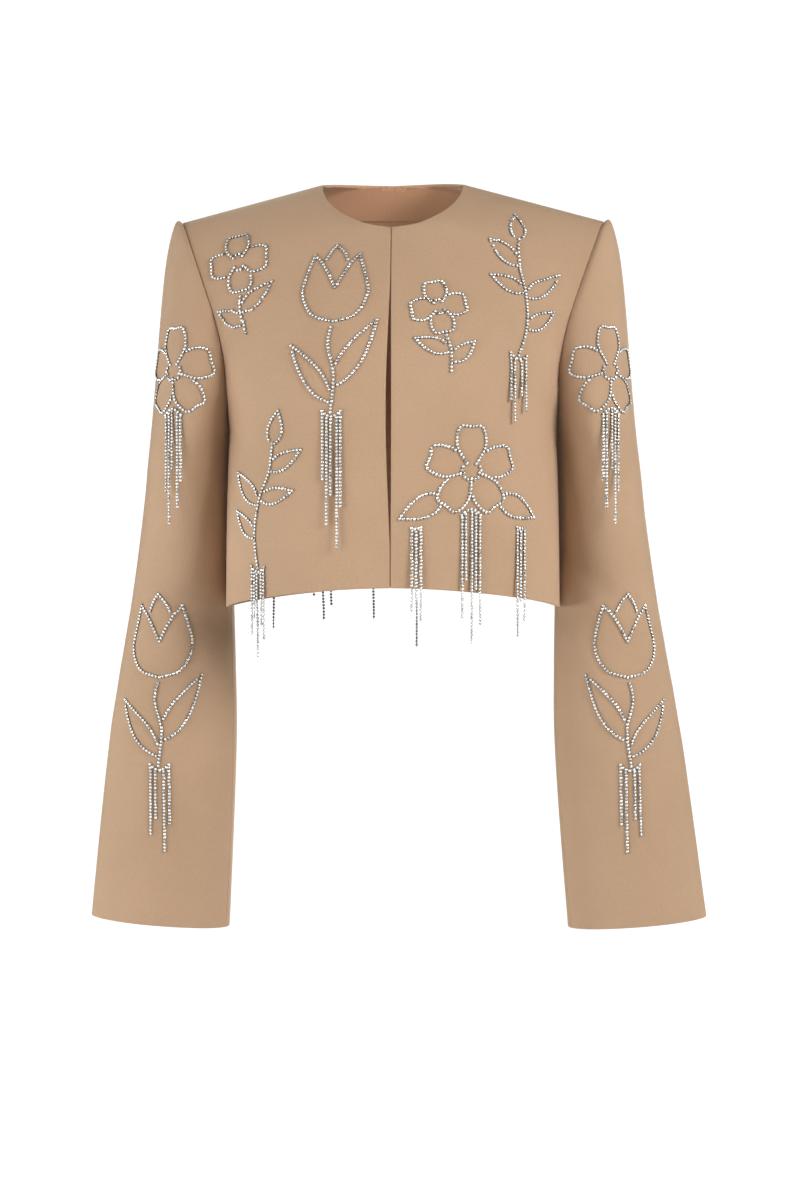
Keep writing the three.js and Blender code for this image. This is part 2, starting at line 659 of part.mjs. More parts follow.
// Every motif: what it lies on, where its middle is, and the strands under it.
const MOTIFS = [
  {
    name: "tulip_on_right_front",
    on: frontRight,
    isRight: true,
    at: placeAt(frontRight, 52, -126),
    lines: TULIP,
    strands: [underStem(-84, [86, 122, 70, 98, 60])],
  },
  {
    name: "spray_on_right_front",
    on: frontRight,
    isRight: true,
    at: placeAt(frontRight, 119, -288),
    turn: 5,
    scale: 0.9,
    lines: SPRAY,
    strands: [underStem(-70, [66, 50, 76, 44, 60])],
  },
  {
    name: "bud_on_right_shoulder",
    on: frontRight,
    isRight: true,
    at: placeAt(frontRight, 142, -66),
    turn: -12,
    scale: 1.1,
    lines: BUD,
  },
  {
    name: "bud_on_left_front",
    on: frontLeft,
    at: placeAt(frontLeft, 44, -112),
    turn: 10,
    lines: BUD,
  },
  {
    name: "blossom_on_left_front",
    on: frontLeft,
    at: placeAt(frontLeft, 74, -262),
    lines: BLOSSOM_WITH_LEAVES,
    strands: [
      underLeftLeaf([74, 106, 84]),
      underBlossom([92, 62, 120, 70, 98]),
      underRightLeaf([98, 64, 84]),
    ],
  },
  {
    name: "spray_on_left_front",
    on: frontLeft,
    at: placeAt(frontLeft, 122, -96),
    turn: -10,
    scale: 0.9,
    lines: SPRAY,
    strands: [underStem(-70, [44, 58, 34, 48])],
  },
];
for (const side of ["left", "right"]) {
  MOTIFS.push(
    {
      name: `blossom_on_${side}_sleeve`,
      on: topSleeve,
      isRight: side === "right",
      at: { u: 60, v: 0.25 },
      lines: BLOSSOM,
      strands: [underBlossom([62, 90, 56, 104, 70])],
    },
    {
      name: `tulip_on_${side}_sleeve`,
      on: topSleeve,
      isRight: side === "right",
      at: { u: 78, v: 0.687 },
      lines: TULIP,
      strands: [underStem(-84, [54, 76, 46, 64])],
    },
  );
}
MOTIFS.push(
  {
    name: "blossom_on_back",
    on: backHalf,
    isRight: true,
    at: placeAt(backHalf, 72, -226),
    lines: BLOSSOM_WITH_LEAVES,
    strands: [
      underLeftLeaf([90, 126, 80]),
      underBlossom([108, 84, 136, 94, 118]),
      underRightLeaf([84, 116, 74]),
    ],
  },
  {
    name: "spray_on_back",
    on: backHalf,
    at: placeAt(backHalf, 98, -112),
    turn: 10,
    lines: SPRAY,
    strands: [underStem(-70, [70, 98, 56, 84])],
  },
);

// Below the hem both sleeves swing a little to the wearer's left.
function swung(geometry) {
  const position = geometry.attributes.position;
  for (let k = 0; k < position.count; k++) {
    const share = clamp01((SWING.fromZ - position.getZ(k)) / (SWING.fromZ - SWING.toZ));
    position.setX(k, position.getX(k) + SWING.by * share ** 1.5);
  }
  return geometry;
}

// The pieces, each as a named solid.
const CLOTH_COLOUR = 0xc4a07f;
const CRYSTAL_COLOUR = 0xdfe3e8;
const part = new THREE.Group();
part.name = "cropped_jacket";

function addPiece(name, made, colour, { isRight = false, isOnSleeve = false } = {}) {
  const geometry = isRight ? mirrored(made) : made;
  const material = new THREE.MeshStandardMaterial({ color: colour });
  const mesh = new THREE.Mesh(isOnSleeve ? swung(geometry) : geometry, material);
  mesh.name = name;
  part.add(mesh);
}

addPiece("front_left", wall(frontLeft), CLOTH_COLOUR);
addPiece("front_right", wall(frontRight), CLOTH_COLOUR, { isRight: true });
addPiece("back", bothHalves(wall(backHalf, 0, CLOTH, BACK_NECK_V)), CLOTH_COLOUR);
addPiece("back_neck_facing", bothHalves(wall(halfFacing, 0, FACING.thickness, 2)), CLOTH_COLOUR);
for (const side of ["left", "right"]) {
  const worn = { isRight: side === "right", isOnSleeve: true };
  addPiece(`top_sleeve_${side}`, wall(topSleeve), CLOTH_COLOUR, worn);
  addPiece(`under_sleeve_${side}`, wall(underSleeve), CLOTH_COLOUR, worn);
}
for (const motif of MOTIFS) {
  const worn = { isRight: motif.isRight, isOnSleeve: motif.on === topSleeve };
  const lines = motif.lines.map((line) => chainLine(motif, line));
  addPiece(motif.name, joined(lines), CRYSTAL_COLOUR, worn);
  (motif.strands ?? []).forEach((group, k) => {
    addPiece(`${motif.name}_strands_${k + 1}`, fringe(motif, group), CRYSTAL_COLOUR, worn);
  });
}

export default part;
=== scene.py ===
# %% [markdown]
# # A cropped camel jacket with crystal chains
#
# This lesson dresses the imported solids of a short, collarless jacket. Each cut piece of cloth
# gets a fine shell with rolled edges and soft folds, the lining goes in behind it, and every
# crystal of the chains is set in its own cup. Each step says what the piece is on the real
# jacket, how it could be made, and why this way was chosen.

# %% Load the solids
import math

import bmesh
import bpy
import numpy as np
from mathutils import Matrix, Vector


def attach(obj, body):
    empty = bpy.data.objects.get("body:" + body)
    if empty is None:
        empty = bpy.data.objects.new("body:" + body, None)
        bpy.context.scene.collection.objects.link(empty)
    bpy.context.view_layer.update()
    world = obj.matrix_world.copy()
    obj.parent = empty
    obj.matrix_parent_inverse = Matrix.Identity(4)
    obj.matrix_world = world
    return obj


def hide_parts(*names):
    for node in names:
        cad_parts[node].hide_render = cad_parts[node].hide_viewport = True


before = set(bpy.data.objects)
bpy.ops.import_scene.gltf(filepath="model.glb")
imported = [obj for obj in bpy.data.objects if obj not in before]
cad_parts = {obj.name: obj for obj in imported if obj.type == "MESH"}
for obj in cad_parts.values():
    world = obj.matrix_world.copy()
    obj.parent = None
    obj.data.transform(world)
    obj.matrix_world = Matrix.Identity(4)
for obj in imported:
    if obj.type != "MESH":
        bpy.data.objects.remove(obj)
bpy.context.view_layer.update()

# %% [markdown]
# ## Smooth curves through a few measured points
#
# A pattern cutter draws an edge as a smooth curve through a few known points. The same is done
# here: a table has one row for each known point, and `smooth` gives the value in between. The
# whole jacket is worked out in millimetres, and turned into metres when a mesh is made.

# %% Tables and smooth curves
MM = 0.001


def mix(a, b, share):
    return a + (b - a) * share


def clamp01(value):
    return np.clip(value, 0.0, 1.0)


def eased(value):
    """0 to 1 with a soft start and a soft end."""
    value = clamp01(value)
    return value * value * (3 - 2 * value)


def unit(vectors):
    return vectors / np.linalg.norm(vectors, axis=-1, keepdims=True)


def table(columns, *rows):
    """A table with named columns, one row for each known point."""
    return dict(zip(columns.split(), np.array(rows, float).T))


def smooth(rows, column, at, key="t"):
    """The values of a column at some keys, on a smooth curve through the rows."""
    keys, values = rows[key], rows[column]
    if keys[-1] < keys[0]:
        keys, at = -keys, -at
    before = np.maximum(np.arange(len(keys)) - 1, 0)
    after = np.minimum(np.arange(len(keys)) + 1, len(keys) - 1)
    slopes = (values[after] - values[before]) / (keys[after] - keys[before])
    i = np.searchsorted(keys[1:-1], at)
    span = keys[i + 1] - keys[i]
    s = (at - keys[i]) / span
    return (
        values[i] * (1 + 2 * s) * (1 - s) ** 2
        + slopes[i] * span * s * (1 - s) ** 2
        + values[i + 1] * s * s * (3 - 2 * s)
        + slopes[i + 1] * span * s * s * (s - 1)
    )


def edge_point(rows, t):
    x = smooth(rows, "x", t) if "x" in rows else np.zeros_like(t)
    return np.stack([x, smooth(rows, "y", t), smooth(rows, "z", t)], axis=-1)


# %% [markdown]
# ## The edges of the cut pieces
#
# These are the edges of the wearer's left half, the same ones that the solids were made from.
# `t` runs from 0 to 1 along each edge. x is to the wearer's left, y to the back, and z up.
# Repeating them here keeps the fine cloth exactly on the solids that it stands for.

# %% Edges of the fronts and the back
CENTRE_FRONT = table(
    "t y z",
    (0, -105, -369.5), (0.2, -108, -303), (0.4, -111, -236), (0.58, -110.5, -176),
    (0.75, -101, -119), (0.88, -86, -75), (1, -68, -35),
)
CENTRE_BACK = table(
    "t y z",
    (0, 92, -368), (0.2, 94, -290), (0.4, 99, -212), (0.6, 103, -134),
    (0.78, 95, -64), (0.91, 75, -13), (1, 55, 22),
)
FRONT_NECKLINE = table(
    "t x y z",
    (0, 0, -68, -35), (0.2, 21.4, -65, -31.4), (0.35, 35.3, -59.5, -25.6),
    (0.52, 48.3, -50, -17.5), (0.68, 58.3, -38, -7.8), (0.85, 65, -20, 5), (1, 66.5, 0, 14.7),
)
BACK_NECKLINE = table(
    "t x y z",
    (0, 0, 55, 22), (0.3, 28, 50.5, 22.3), (0.52, 45, 41, 21.5), (0.7, 56, 28, 19.5),
    (0.86, 63, 14, 17), (1, 66.5, 0, 14.7),
)
SIDE_SEAM = table(
    "t x y z",
    (0, 158, 0, -386.7), (0.5, 157, 0, -300), (0.85, 155, 0, -233), (1, 155, 0, -205),
)
FRONT_ARMHOLE = table(
    "t x y z",
    (0, 155, 0, -205), (0.1, 155, -23, -198), (0.2, 155.2, -40, -183), (0.31, 156, -50, -161),
    (0.42, 160, -53, -137), (0.53, 166, -53, -114), (0.64, 173.5, -50, -92),
    (0.75, 181, -44, -70), (0.85, 188.5, -34, -49), (0.93, 195, -20, -31),
    (0.97, 198.5, -10, -24), (1, 200, 0, -21),
)
BACK_ARMHOLE = table(
    "t x y z",
    (0, 155, 0, -205), (0.1, 155.5, 23, -199), (0.2, 157, 41, -185), (0.31, 161, 53, -164),
    (0.42, 167, 58.5, -139), (0.53, 174, 59, -114), (0.64, 180.5, 56, -92),
    (0.75, 186.5, 49, -70), (0.85, 192, 37, -49), (0.93, 197, 21, -31),
    (0.97, 199.2, 10, -24), (1, 200, 0, -21),
)
ARMHOLE_MIDDLE = np.array([0.0, 2.0, -118.0])
ROUNDNESS = table("t round", (0, 1), (0.42, 1), (0.6, 0.8), (0.8, 0.5), (1, 0))

CLOTH = 2.0  # the cloth and its lining together
SEAM_GAP = 0.3
SECTION_POWER = 2.35  # how square the body's section is
UNDERARM_V = 0.42
FRONT_NECK_V = UNDERARM_V + (1 - UNDERARM_V) * 7 / 12
BACK_NECK_V = UNDERARM_V + (1 - UNDERARM_V) * 8 / 12
NECK_POINT, SHOULDER_POINT = (edge_point(edge, np.array(1.0)) for edge in (FRONT_NECKLINE, FRONT_ARMHOLE))
print("shoulder seam ends", NECK_POINT, SHOULDER_POINT)

# %% [markdown]
# ## The body as a surface
#
# A front runs from its edge (u = 0) to the side seam and armhole (u = 1), and from the hem
# (v = 0) to the shoulder (v = 1). Cloth that is worn fills out to a squarish round, so a row is
# a quarter of a rounded section low down and flattens to the straight shoulder seam at the top.
# Below the neck, the two front edges bow apart a little, as they do on a jacket left open.

# %% A point of the body
FRONT_GAP = 0.4
EDGE_FADE = 3.2
BOW_TOP_Z, BOW_LOW_Z = -85, -335
BOW = {"left": 0.6, "right": 3.6}


def front_edge_x(z, bow):
    s = clamp01((z - BOW_LOW_Z) / (BOW_TOP_Z - BOW_LOW_Z))
    return FRONT_GAP + bow * np.maximum(0, np.sin(np.pi * s)) ** 1.3


def body_point(u, v, is_front, bow=0.0):
    u, v = np.broadcast_arrays(np.asarray(u, float), np.asarray(v, float))
    neck_v = FRONT_NECK_V if is_front else BACK_NECK_V
    centre = CENTRE_FRONT if is_front else CENTRE_BACK
    neckline = FRONT_NECKLINE if is_front else BACK_NECKLINE
    armhole = FRONT_ARMHOLE if is_front else BACK_ARMHOLE
    start = np.where(
        (v < neck_v)[..., None],
        edge_point(centre, v / neck_v),
        edge_point(neckline, (v - neck_v) / (1 - neck_v)),
    )
    end = np.where(
        (v < UNDERARM_V)[..., None],
        edge_point(SIDE_SEAM, v / UNDERARM_V),
        edge_point(armhole, (v - UNDERARM_V) / (1 - UNDERARM_V)),
    )
    if is_front:
        start[..., 0] += front_edge_x(start[..., 2], bow) * (1 - clamp01(start[..., 0] / EDGE_FADE))
    sine, cosine = np.sin(u * np.pi / 2), np.cos(u * np.pi / 2)
    reach = (np.abs(cosine) ** SECTION_POWER + np.abs(sine) ** SECTION_POWER) ** (-1 / SECTION_POWER)
    roundness = smooth(ROUNDNESS, "round", v)
    easing = np.abs(u) ** mix(2, 1, clamp01((v - 0.7) / 0.3))
    out = mix(u, reach * sine, roundness)
    deep = mix(1 - easing, reach * cosine, roundness)
    fall = mix(easing, u * u * (3 - 2 * u), roundness)
    y = mix(end[..., 1], start[..., 1], deep) + (-SEAM_GAP if is_front else SEAM_GAP) / 2
    return np.stack([mix(start[..., 0], end[..., 0], out), y, mix(start[..., 2], end[..., 2], fall)], axis=-1)


print("hem at the side", body_point(1, 0, True), "neck point", body_point(0, 1, True))

# %% [markdown]
# ## The sleeve as a surface
#
# A tailored sleeve has a head that is fuller than its armhole, so it leaves the seam outwards,
# stands a little above it as a soft rope, and then falls. Below the head, each row of the table
# gives the sleeve's outer and inner side, its middle and its half depth. It flares to the cuff.

# %% A point of the sleeve
SLEEVE = table(
    "z outer inner mid_y half_depth tilt",
    (-240, 233, 155, 14, 66, 0),
    (-310, 242.5, 155.5, 28, 62, 1.5),
    (-386, 255, 154.5, 43, 56, 3),
    (-430, 262.5, 153.5, 43, 54, 4),
    (-500, 272.5, 153, 39, 52, 5),
    (-600, 284.5, 157.5, 33, 51, 6),
    (-687.5, 294, 162.5, 26, 50, 5.5),
)
CAP_SHARE = 0.4
ROPE_HEIGHT = 3.5
HEAD_TOP = {"out": 66, "up": 20, "fall": 215}
HEAD_UNDER = {"out": 6, "up": -26, "fall": 34}
HEAD_FORWARD = 30
SLEEVE_SEAM = {"front": 165, "back": 240}  # degrees round the sleeve: 0 is outside, 90 the front
SWING = {"by": 4.5, "from_z": -386, "to_z": -687}


def armhole_point(degrees):
    turned = np.mod(degrees, 360)
    front = edge_point(FRONT_ARMHOLE, 1 - turned / 180)
    back = edge_point(BACK_ARMHOLE, turned / 180 - 1)
    return np.where((turned <= 180)[..., None], front, back)


def armhole_out(points):
    """The way out of the armhole in its own plane."""
    return unit((points - ARMHOLE_MIDDLE) * [0, 1, 1])


def sleeve_section(z, degrees):
    angle = np.radians(degrees)
    outer, inner = smooth(SLEEVE, "outer", z, "z"), smooth(SLEEVE, "inner", z, "z")
    x = (outer + inner) / 2 + (outer - inner) / 2 * np.cos(angle)
    y = smooth(SLEEVE, "mid_y", z, "z") - smooth(SLEEVE, "half_depth", z, "z") * np.sin(angle)
    return np.stack([x, y, z + smooth(SLEEVE, "tilt", z, "z") * np.cos(angle)], axis=-1)


def sleeve_point(around, v):
    around, v = np.broadcast_arrays(np.asarray(around, float), np.asarray(v, float))
    top_z, cuff_z = SLEEVE["z"][0], SLEEVE["z"][-1]
    below = sleeve_section(mix(top_z, cuff_z, (v - CAP_SHARE) / (1 - CAP_SHARE)), around)
    s = v[..., None] / CAP_SHARE
    angle = np.radians(around)
    upper = (1 + np.cos(angle)) / 2
    start = armhole_point(around) + [SEAM_GAP, 0, 0]
    end = sleeve_section(np.full_like(v, top_z), around)
    leaving = np.stack(
        [
            mix(HEAD_UNDER["out"], HEAD_TOP["out"], upper),
            -HEAD_FORWARD * np.sin(angle),
            mix(HEAD_UNDER["up"], HEAD_TOP["up"], upper),
        ],
        axis=-1,
    )
    falling = unit(sleeve_section(np.full_like(v, top_z - 1), around) - end)
    arriving = falling * mix(HEAD_UNDER["fall"], HEAD_TOP["fall"], upper)[..., None]
    head = (
        start * (1 + 2 * s) * (1 - s) ** 2
        + leaving * s * (1 - s) ** 2
        + end * s * s * (3 - 2 * s)
        + arriving * s * s * (s - 1)
    )
    height = ROPE_HEIGHT * np.maximum(0, np.cos(angle))[..., None] * np.exp(-(((s - 0.1) / 0.08) ** 2))
    head = head + armhole_out(start) * height * np.minimum(1, s / 0.05)
    return np.where((v >= CAP_SHARE)[..., None], below, head)


print("cuff", sleeve_point(0, 1), sleeve_point(180, 1))

# %% [markdown]
# ## Soft folds
#
# Even a smooth, heavy crepe shows soft folds: short ones that run from the underarm, a shallow
# one across the chest, long slow ones down a sleeve. A cloth simulation could find them, but it
# would also move the cloth off its solid. Here each fold is one line of a table instead: where
# it starts and ends, how wide it is and how far it stands out (or sinks, where it is negative).

# %% Folds of each piece
# across and z of both ends, the width, and the height.
FRONT_FOLDS = [
    (-150, -222, -112, -268, 11, -1.5), (-152, -205, -92, -176, 24, 1.7), (-138, -250, -120, -330, 26, 1.2),
    (-62, -300, -88, -372, 30, 1.3), (-26, -210, -30, -300, 28, -0.8), (-120, -110, -96, -150, 30, 0.8),
    (149, -224, 118, -262, 13, -1.2), (152, -200, 96, -168, 26, 1.6), (134, -252, 126, -340, 28, 1.3),
    (52, -318, 74, -374, 28, 1.1), (28, -190, 36, -300, 26, -0.7), (110, -120, 92, -160, 26, 0.9),
]
BACK_FOLDS = [
    (-150, -224, -104, -258, 14, -1.5), (-152, -200, -84, -160, 26, 1.9), (-96, -250, -84, -366, 34, 1.6),
    (-30, -150, -22, -300, 30, -1.1), (148, -228, 108, -270, 12, -1.3), (153, -204, 90, -158, 25, 1.8),
    (92, -262, 104, -366, 30, 1.5), (24, -170, 30, -320, 32, 1.0), (0, -60, 4, -110, 40, -0.8),
]
LEFT_SLEEVE_FOLDS = [
    (104, -150, 86, -300, 15, 1.7), (130, -196, 100, -258, 10, -1.4), (148, -330, 92, -372, 13, -1.7),
    (150, -360, 84, -398, 12, 1.5), (146, -395, 100, -430, 12, -1.3), (62, -430, 70, -660, 20, 1.2),
    (118, -470, 112, -690, 16, -1.2), (-60, -180, -70, -330, 18, 1.6), (-96, -350, -40, -396, 13, -1.5),
    (-110, -388, -46, -428, 13, 1.5), (-80, -450, -70, -680, 22, 1.3), (210, -330, 250, -392, 14, -1.4),
    (12, -300, 8, -430, 26, -0.9), (14, -520, 12, -690, 22, 0.9), (178, -204, 182, -250, 22, 0.75),
]
RIGHT_SLEEVE_FOLDS = [
    (108, -160, 92, -286, 14, 1.6), (134, -204, 108, -262, 11, -1.5), (152, -344, 98, -384, 13, -1.8),
    (148, -374, 88, -412, 12, 1.5), (140, -412, 104, -446, 11, -1.1), (56, -450, 66, -676, 20, 1.3),
    (120, -500, 108, -690, 17, -1.3), (-56, -170, -74, -320, 18, 1.5), (-92, -338, -36, -388, 13, -1.6),
    (-112, -376, -50, -420, 12, 1.4), (-76, -470, -66, -684, 22, 1.2), (214, -340, 246, -400, 14, -1.4),
    (10, -280, 16, -420, 24, -0.8), (10, -500, 18, -690, 22, 1.0), (178, -204, 182, -250, 22, 0.7),
]


def fold_height(folds, across, z, is_round=False):
    """How far the cloth stands out at places, from its folds and a slow unevenness.

    across is a width in mm on the body, and degrees round a sleeve, which meet after 360.
    """
    slow = np.radians(across * 2) if is_round else across / 37
    height = 0.3 * np.sin(slow + z / 61) + 0.25 * np.sin(2 * slow - z / 43 + 1.7)
    for a0, z0, a1, z1, width, high in folds:
        near = across
        if is_round:
            near = (a0 + a1) / 2 + np.mod(across - (a0 + a1) / 2 + 180, 360) - 180
        along = clamp01(((near - a0) * (a1 - a0) + (z - z0) * (z1 - z0)) / ((a1 - a0) ** 2 + (z1 - z0) ** 2))
        away = (near - mix(a0, a1, along)) ** 2 + (z - mix(z0, z1, along)) ** 2
        height = height + high * np.exp(-away / width**2)
    return height


print("folds", len(FRONT_FOLDS), len(BACK_FOLDS), len(LEFT_SLEEVE_FOLDS), len(RIGHT_SLEEVE_FOLDS))

# %% [markdown]
# ## A cut piece
#
# A `Panel` joins what a cut piece needs: its smooth surface, the way that its outside faces,
# its folds, and the way that the cloth's thickness runs, which follows the seam at an edge so
# that two pieces meet there without a step. It can also step over its own surface, which is how
# the crystal chains are laid out later, with their true lengths.

# %% The panels
SEAM_EASE = 9.0  # how far from a seam, in mm, the thickness still follows it
SLEEVE_LENGTH, ROW_LENGTH, BODY_LENGTH = 600, 165, 430  # about, in mm
UNDERARM_TURN = 0.03  # how far below the underarm the side seam's way starts to turn
SOFT_REACH = 0.045
SOFT_WEIGHTS = ((-1, 0.14), (-0.5, 0.22), (0, 0.28), (0.5, 0.22), (1, 0.14))
SOFT_FADE = {"centre": 0.2, "side": 0.1, "hem": 0.12, "shoulder": 0.12}
FOLD_FADE = {"armhole": 0.16, "shoulder": 0.12}  # folds end before these seams


def softened(surface):
    """A body's surface without the faint ridge at the row where its neckline starts."""

    def soft(u, v):
        inside = eased(u / SOFT_FADE["centre"]) * eased((1 - u) / SOFT_FADE["side"])
        inside = inside * eased(v / SOFT_FADE["hem"]) * eased((1 - v) / SOFT_FADE["shoulder"])
        return sum(weight * surface(u, v + step * SOFT_REACH * inside) for step, weight in SOFT_WEIGHTS)

    return soft


class Panel:
    """A cut piece of the left half. mirror is -1 where it is worn on the wearer's right."""

    def __init__(self, surface, sign, folds, mirror=1, is_sleeve=False):
        self.surface, self.sign, self.folds = surface, sign, folds
        self.mirror, self.is_sleeve = mirror, is_sleeve
        self.soft = surface if is_sleeve else softened(surface)

    def normal(self, u, v, surface=None):
        h, at = 1e-3, surface or self.surface
        across = at(u + h, v) - at(u - h, v)
        along = at(u, np.minimum(1, v + h)) - at(u, np.maximum(0, v - h))
        return unit(np.cross(across, along)) * self.sign

    def height(self, base, u, v):
        if self.is_sleeve:
            return fold_height(self.folds, u, base[..., 2], is_round=True) * eased(v / FOLD_FADE["armhole"])
        folds = fold_height(self.folds, self.mirror * base[..., 0], base[..., 2])
        return folds * eased((1 - u) / FOLD_FADE["armhole"]) * eased((1 - v) / FOLD_FADE["shoulder"])

    def point(self, u, v):
        base = self.soft(u, v)
        return base + self.normal(u, v, self.soft) * self.height(base, u, v)[..., None]

    def way(self, u, v):
        """The way that the cloth's thickness runs."""
        way, base = self.normal(u, v, self.soft), self.surface(u, v)
        if self.is_sleeve:
            return towards(way, armhole_out(armhole_point(u)), 1 - v * SLEEVE_LENGTH / SEAM_EASE)
        turned = (v - UNDERARM_V + UNDERARM_TURN) / UNDERARM_TURN
        seam = towards(np.broadcast_to([1.0, 0, 0], base.shape), armhole_out(base), turned)
        way = towards(way, seam, 1 - (1 - u) * ROW_LENGTH / SEAM_EASE)
        shoulder = np.broadcast_to(SHOULDER_WAY, base.shape)
        return towards(way, shoulder, 1 - (1 - v) * BODY_LENGTH / SEAM_EASE)

    def stepped(self, u, v, direction):
        """The places that short steps over the surface lead to."""
        h = 1e-3
        here = self.surface(u, v)
        along_u = (self.surface(u + h, v) - here) / h
        along_v = (self.surface(u, v + h) - here) / h
        uu, uv, vv = dot(along_u, along_u), dot(along_u, along_v), dot(along_v, along_v)
        du, dv = dot(along_u, direction), dot(along_v, direction)
        scale = 1 / (uu * vv - uv * uv)
        return u + (du * vv - dv * uv) * scale, v + (dv * uu - du * uv) * scale

    def place_at(self, x, z, u=0.5, v=0.5):
        """The place that is seen at x and z from the front or the back."""
        h = 1e-4
        u, v = np.full_like(x, u, dtype=float), np.full_like(x, v, dtype=float)
        for _ in range(12):
            here = self.surface(u, v)
            along_u = (self.surface(u + h, v) - here) / h
            along_v = (self.surface(u, v + h) - here) / h
            dx, dz = x - here[..., 0], z - here[..., 2]
            scale = 1 / (along_u[..., 0] * along_v[..., 2] - along_v[..., 0] * along_u[..., 2])
            u = u + (dx * along_v[..., 2] - dz * along_v[..., 0]) * scale
            v = v + (dz * along_u[..., 0] - dx * along_u[..., 2]) * scale
        return u, v


def dot(a, b):
    return (a * b).sum(axis=-1)


def towards(way, other, share):
    return unit(mix(way, other, eased(share)[..., None]))


SHOULDER_WAY = unit(np.cross(SHOULDER_POINT - NECK_POINT, [0, 1, 0]))

PANELS = {
    "front_left": Panel(lambda u, v: body_point(u, v, True, BOW["left"]), 1, FRONT_FOLDS),
    "front_right": Panel(lambda u, v: body_point(u, v, True, BOW["right"]), 1, FRONT_FOLDS, -1),
    "back_left": Panel(lambda u, v: body_point(u, v, False), -1, BACK_FOLDS),
    "back_right": Panel(lambda u, v: body_point(u, v, False), -1, BACK_FOLDS, -1),
    "sleeve_left": Panel(sleeve_point, 1, LEFT_SLEEVE_FOLDS, is_sleeve=True),
    "sleeve_right": Panel(sleeve_point, 1, RIGHT_SLEEVE_FOLDS, -1, is_sleeve=True),
}
print("panels", list(PANELS))

# %% [markdown]
# ## Cloth with rolled edges
#
# Two layers of cloth that are turned at an edge make a soft roll, and two that meet at a seam
# make a shallow groove. Solidify would give square rims. So `shell` lays a fine grid over a
# panel, with its lines close together at the edges, and lets the outer and the inner layer run
# together in a half round there. The distance to the edge is measured in millimetres, so the
# roll is the same all round.

# %% A shell of cloth
EDGE_LINES = np.array([0, 0.13, 0.4, 0.8, 1.3, 2.6])
SEAM_REACH = 0.17  # both sides of a seam reach this far into its gap


def grid_lines(low, high, count, millimetres, knots=()):
    """Lines from low to high, close together at both ends, with one at each knot."""
    close = EDGE_LINES / millimetres
    stops = [low + close[-1], *knots, high - close[-1]]
    lines = [low + close, high - close]
    for start, end in zip(stops, stops[1:]):
        lines.append(np.linspace(start, end, max(2, round(count * (end - start) / (high - low)) + 1)))
    return np.unique(np.round(np.concatenate(lines), 7))


def distance_to(points, starts, ends):
    """How far points are from the nearest of some straight pieces."""
    nearest = np.full(len(points), 1e9)
    for a, b in zip(starts, ends):
        line = b - a
        share = clamp01((points - a) @ line / max(line @ line, 1e-12))
        nearest = np.minimum(nearest, np.linalg.norm(points - a - share[:, None] * line, axis=1))
    return nearest


def arc(points, axis):
    """The length walked along a grid's lines, in metres."""
    steps = np.linalg.norm(np.diff(points, axis=axis), axis=2)
    start = np.zeros_like(steps.take([0], axis=axis))
    return np.concatenate([start, steps.cumsum(axis=axis)], axis=axis) * MM


def layers(panel, us, vs, near, far, edges, seams, open_until=-1, bulge=None, place=None):
    """Points, faces and cloth coordinates of a closed shell between two depths.

    edges are the sides that end, and seams those of them that reach into a seam. The first
    side is open up to open_until, where the other half joins it.
    """
    grid_u, grid_v = np.meshgrid(us, vs)
    u, v = place(grid_u, grid_v) if place else (grid_u, grid_v)
    outside, way = panel.point(u, v), panel.way(u, v)
    if bulge is not None:
        outside = outside - way * bulge(grid_u, grid_v)[..., None]
    sides = {"first": np.s_[:, 0], "last": np.s_[:, -1], "low": np.s_[0, :], "high": np.s_[-1, :]}
    inward = {"first": np.s_[:, 1], "last": np.s_[:, -2], "low": np.s_[1, :], "high": np.s_[-2, :]}
    starts, ends = [], []
    for side in edges:
        line = outside[sides[side]]
        keep = np.full(len(line) - 1, True)
        if side == "first":
            keep = grid_v[sides[side]][1:] > open_until + 1e-6
        starts.extend(line[:-1][keep])
        ends.extend(line[1:][keep])
    radius = (far - near) / 2
    away = distance_to(outside.reshape(-1, 3), starts, ends).reshape(grid_u.shape)
    sunk = radius - np.sqrt(np.maximum(0, radius**2 - np.maximum(0, radius - away) ** 2))
    for side in seams:
        reach = outside[sides[side]] - outside[inward[side]]
        outside[sides[side]] = outside[sides[side]] + unit(reach) * SEAM_REACH
    upper = outside - way * (near + sunk)[..., None]
    lower = outside - way * (far - sunk)[..., None]
    rows, columns = grid_u.shape
    first = np.arange(rows * columns).reshape(rows, columns)
    quads = np.stack([first[:-1, :-1], first[:-1, 1:], first[1:, 1:], first[1:, :-1]], axis=-1).reshape(-1, 4)
    faces = np.concatenate([quads, quads[:, ::-1] + rows * columns])
    cloth = np.stack([arc(outside, 1), arc(outside, 0)], axis=-1).reshape(-1, 2)
    points = np.concatenate([upper.reshape(-1, 3), lower.reshape(-1, 3)])
    return [points, faces, np.concatenate([cloth, cloth])]


def mirrored(made):
    points, faces, cloth = made
    return [points * [-1, 1, 1], faces[:, ::-1], cloth * [-1, 1]]


def together(*parts):
    count, faces = 0, []
    for points, part_faces, _ in parts:
        faces.append(part_faces + count)
        count += len(points)
    points, cloth = (np.concatenate([part[k] for part in parts]) for k in (0, 2))
    return [points, np.concatenate(faces), cloth]


def swung(points):
    """Below the hem both sleeves swing a little to the wearer's left."""
    share = clamp01((SWING["from_z"] - points[:, 2]) / (SWING["from_z"] - SWING["to_z"]))
    return points + np.stack([SWING["by"] * share**1.5, 0 * share, 0 * share], axis=1)


def placed(name, data):
    """A new Blender object of some data, in the scene."""
    piece = bpy.data.objects.new(name, data)
    bpy.context.scene.collection.objects.link(piece)
    return piece


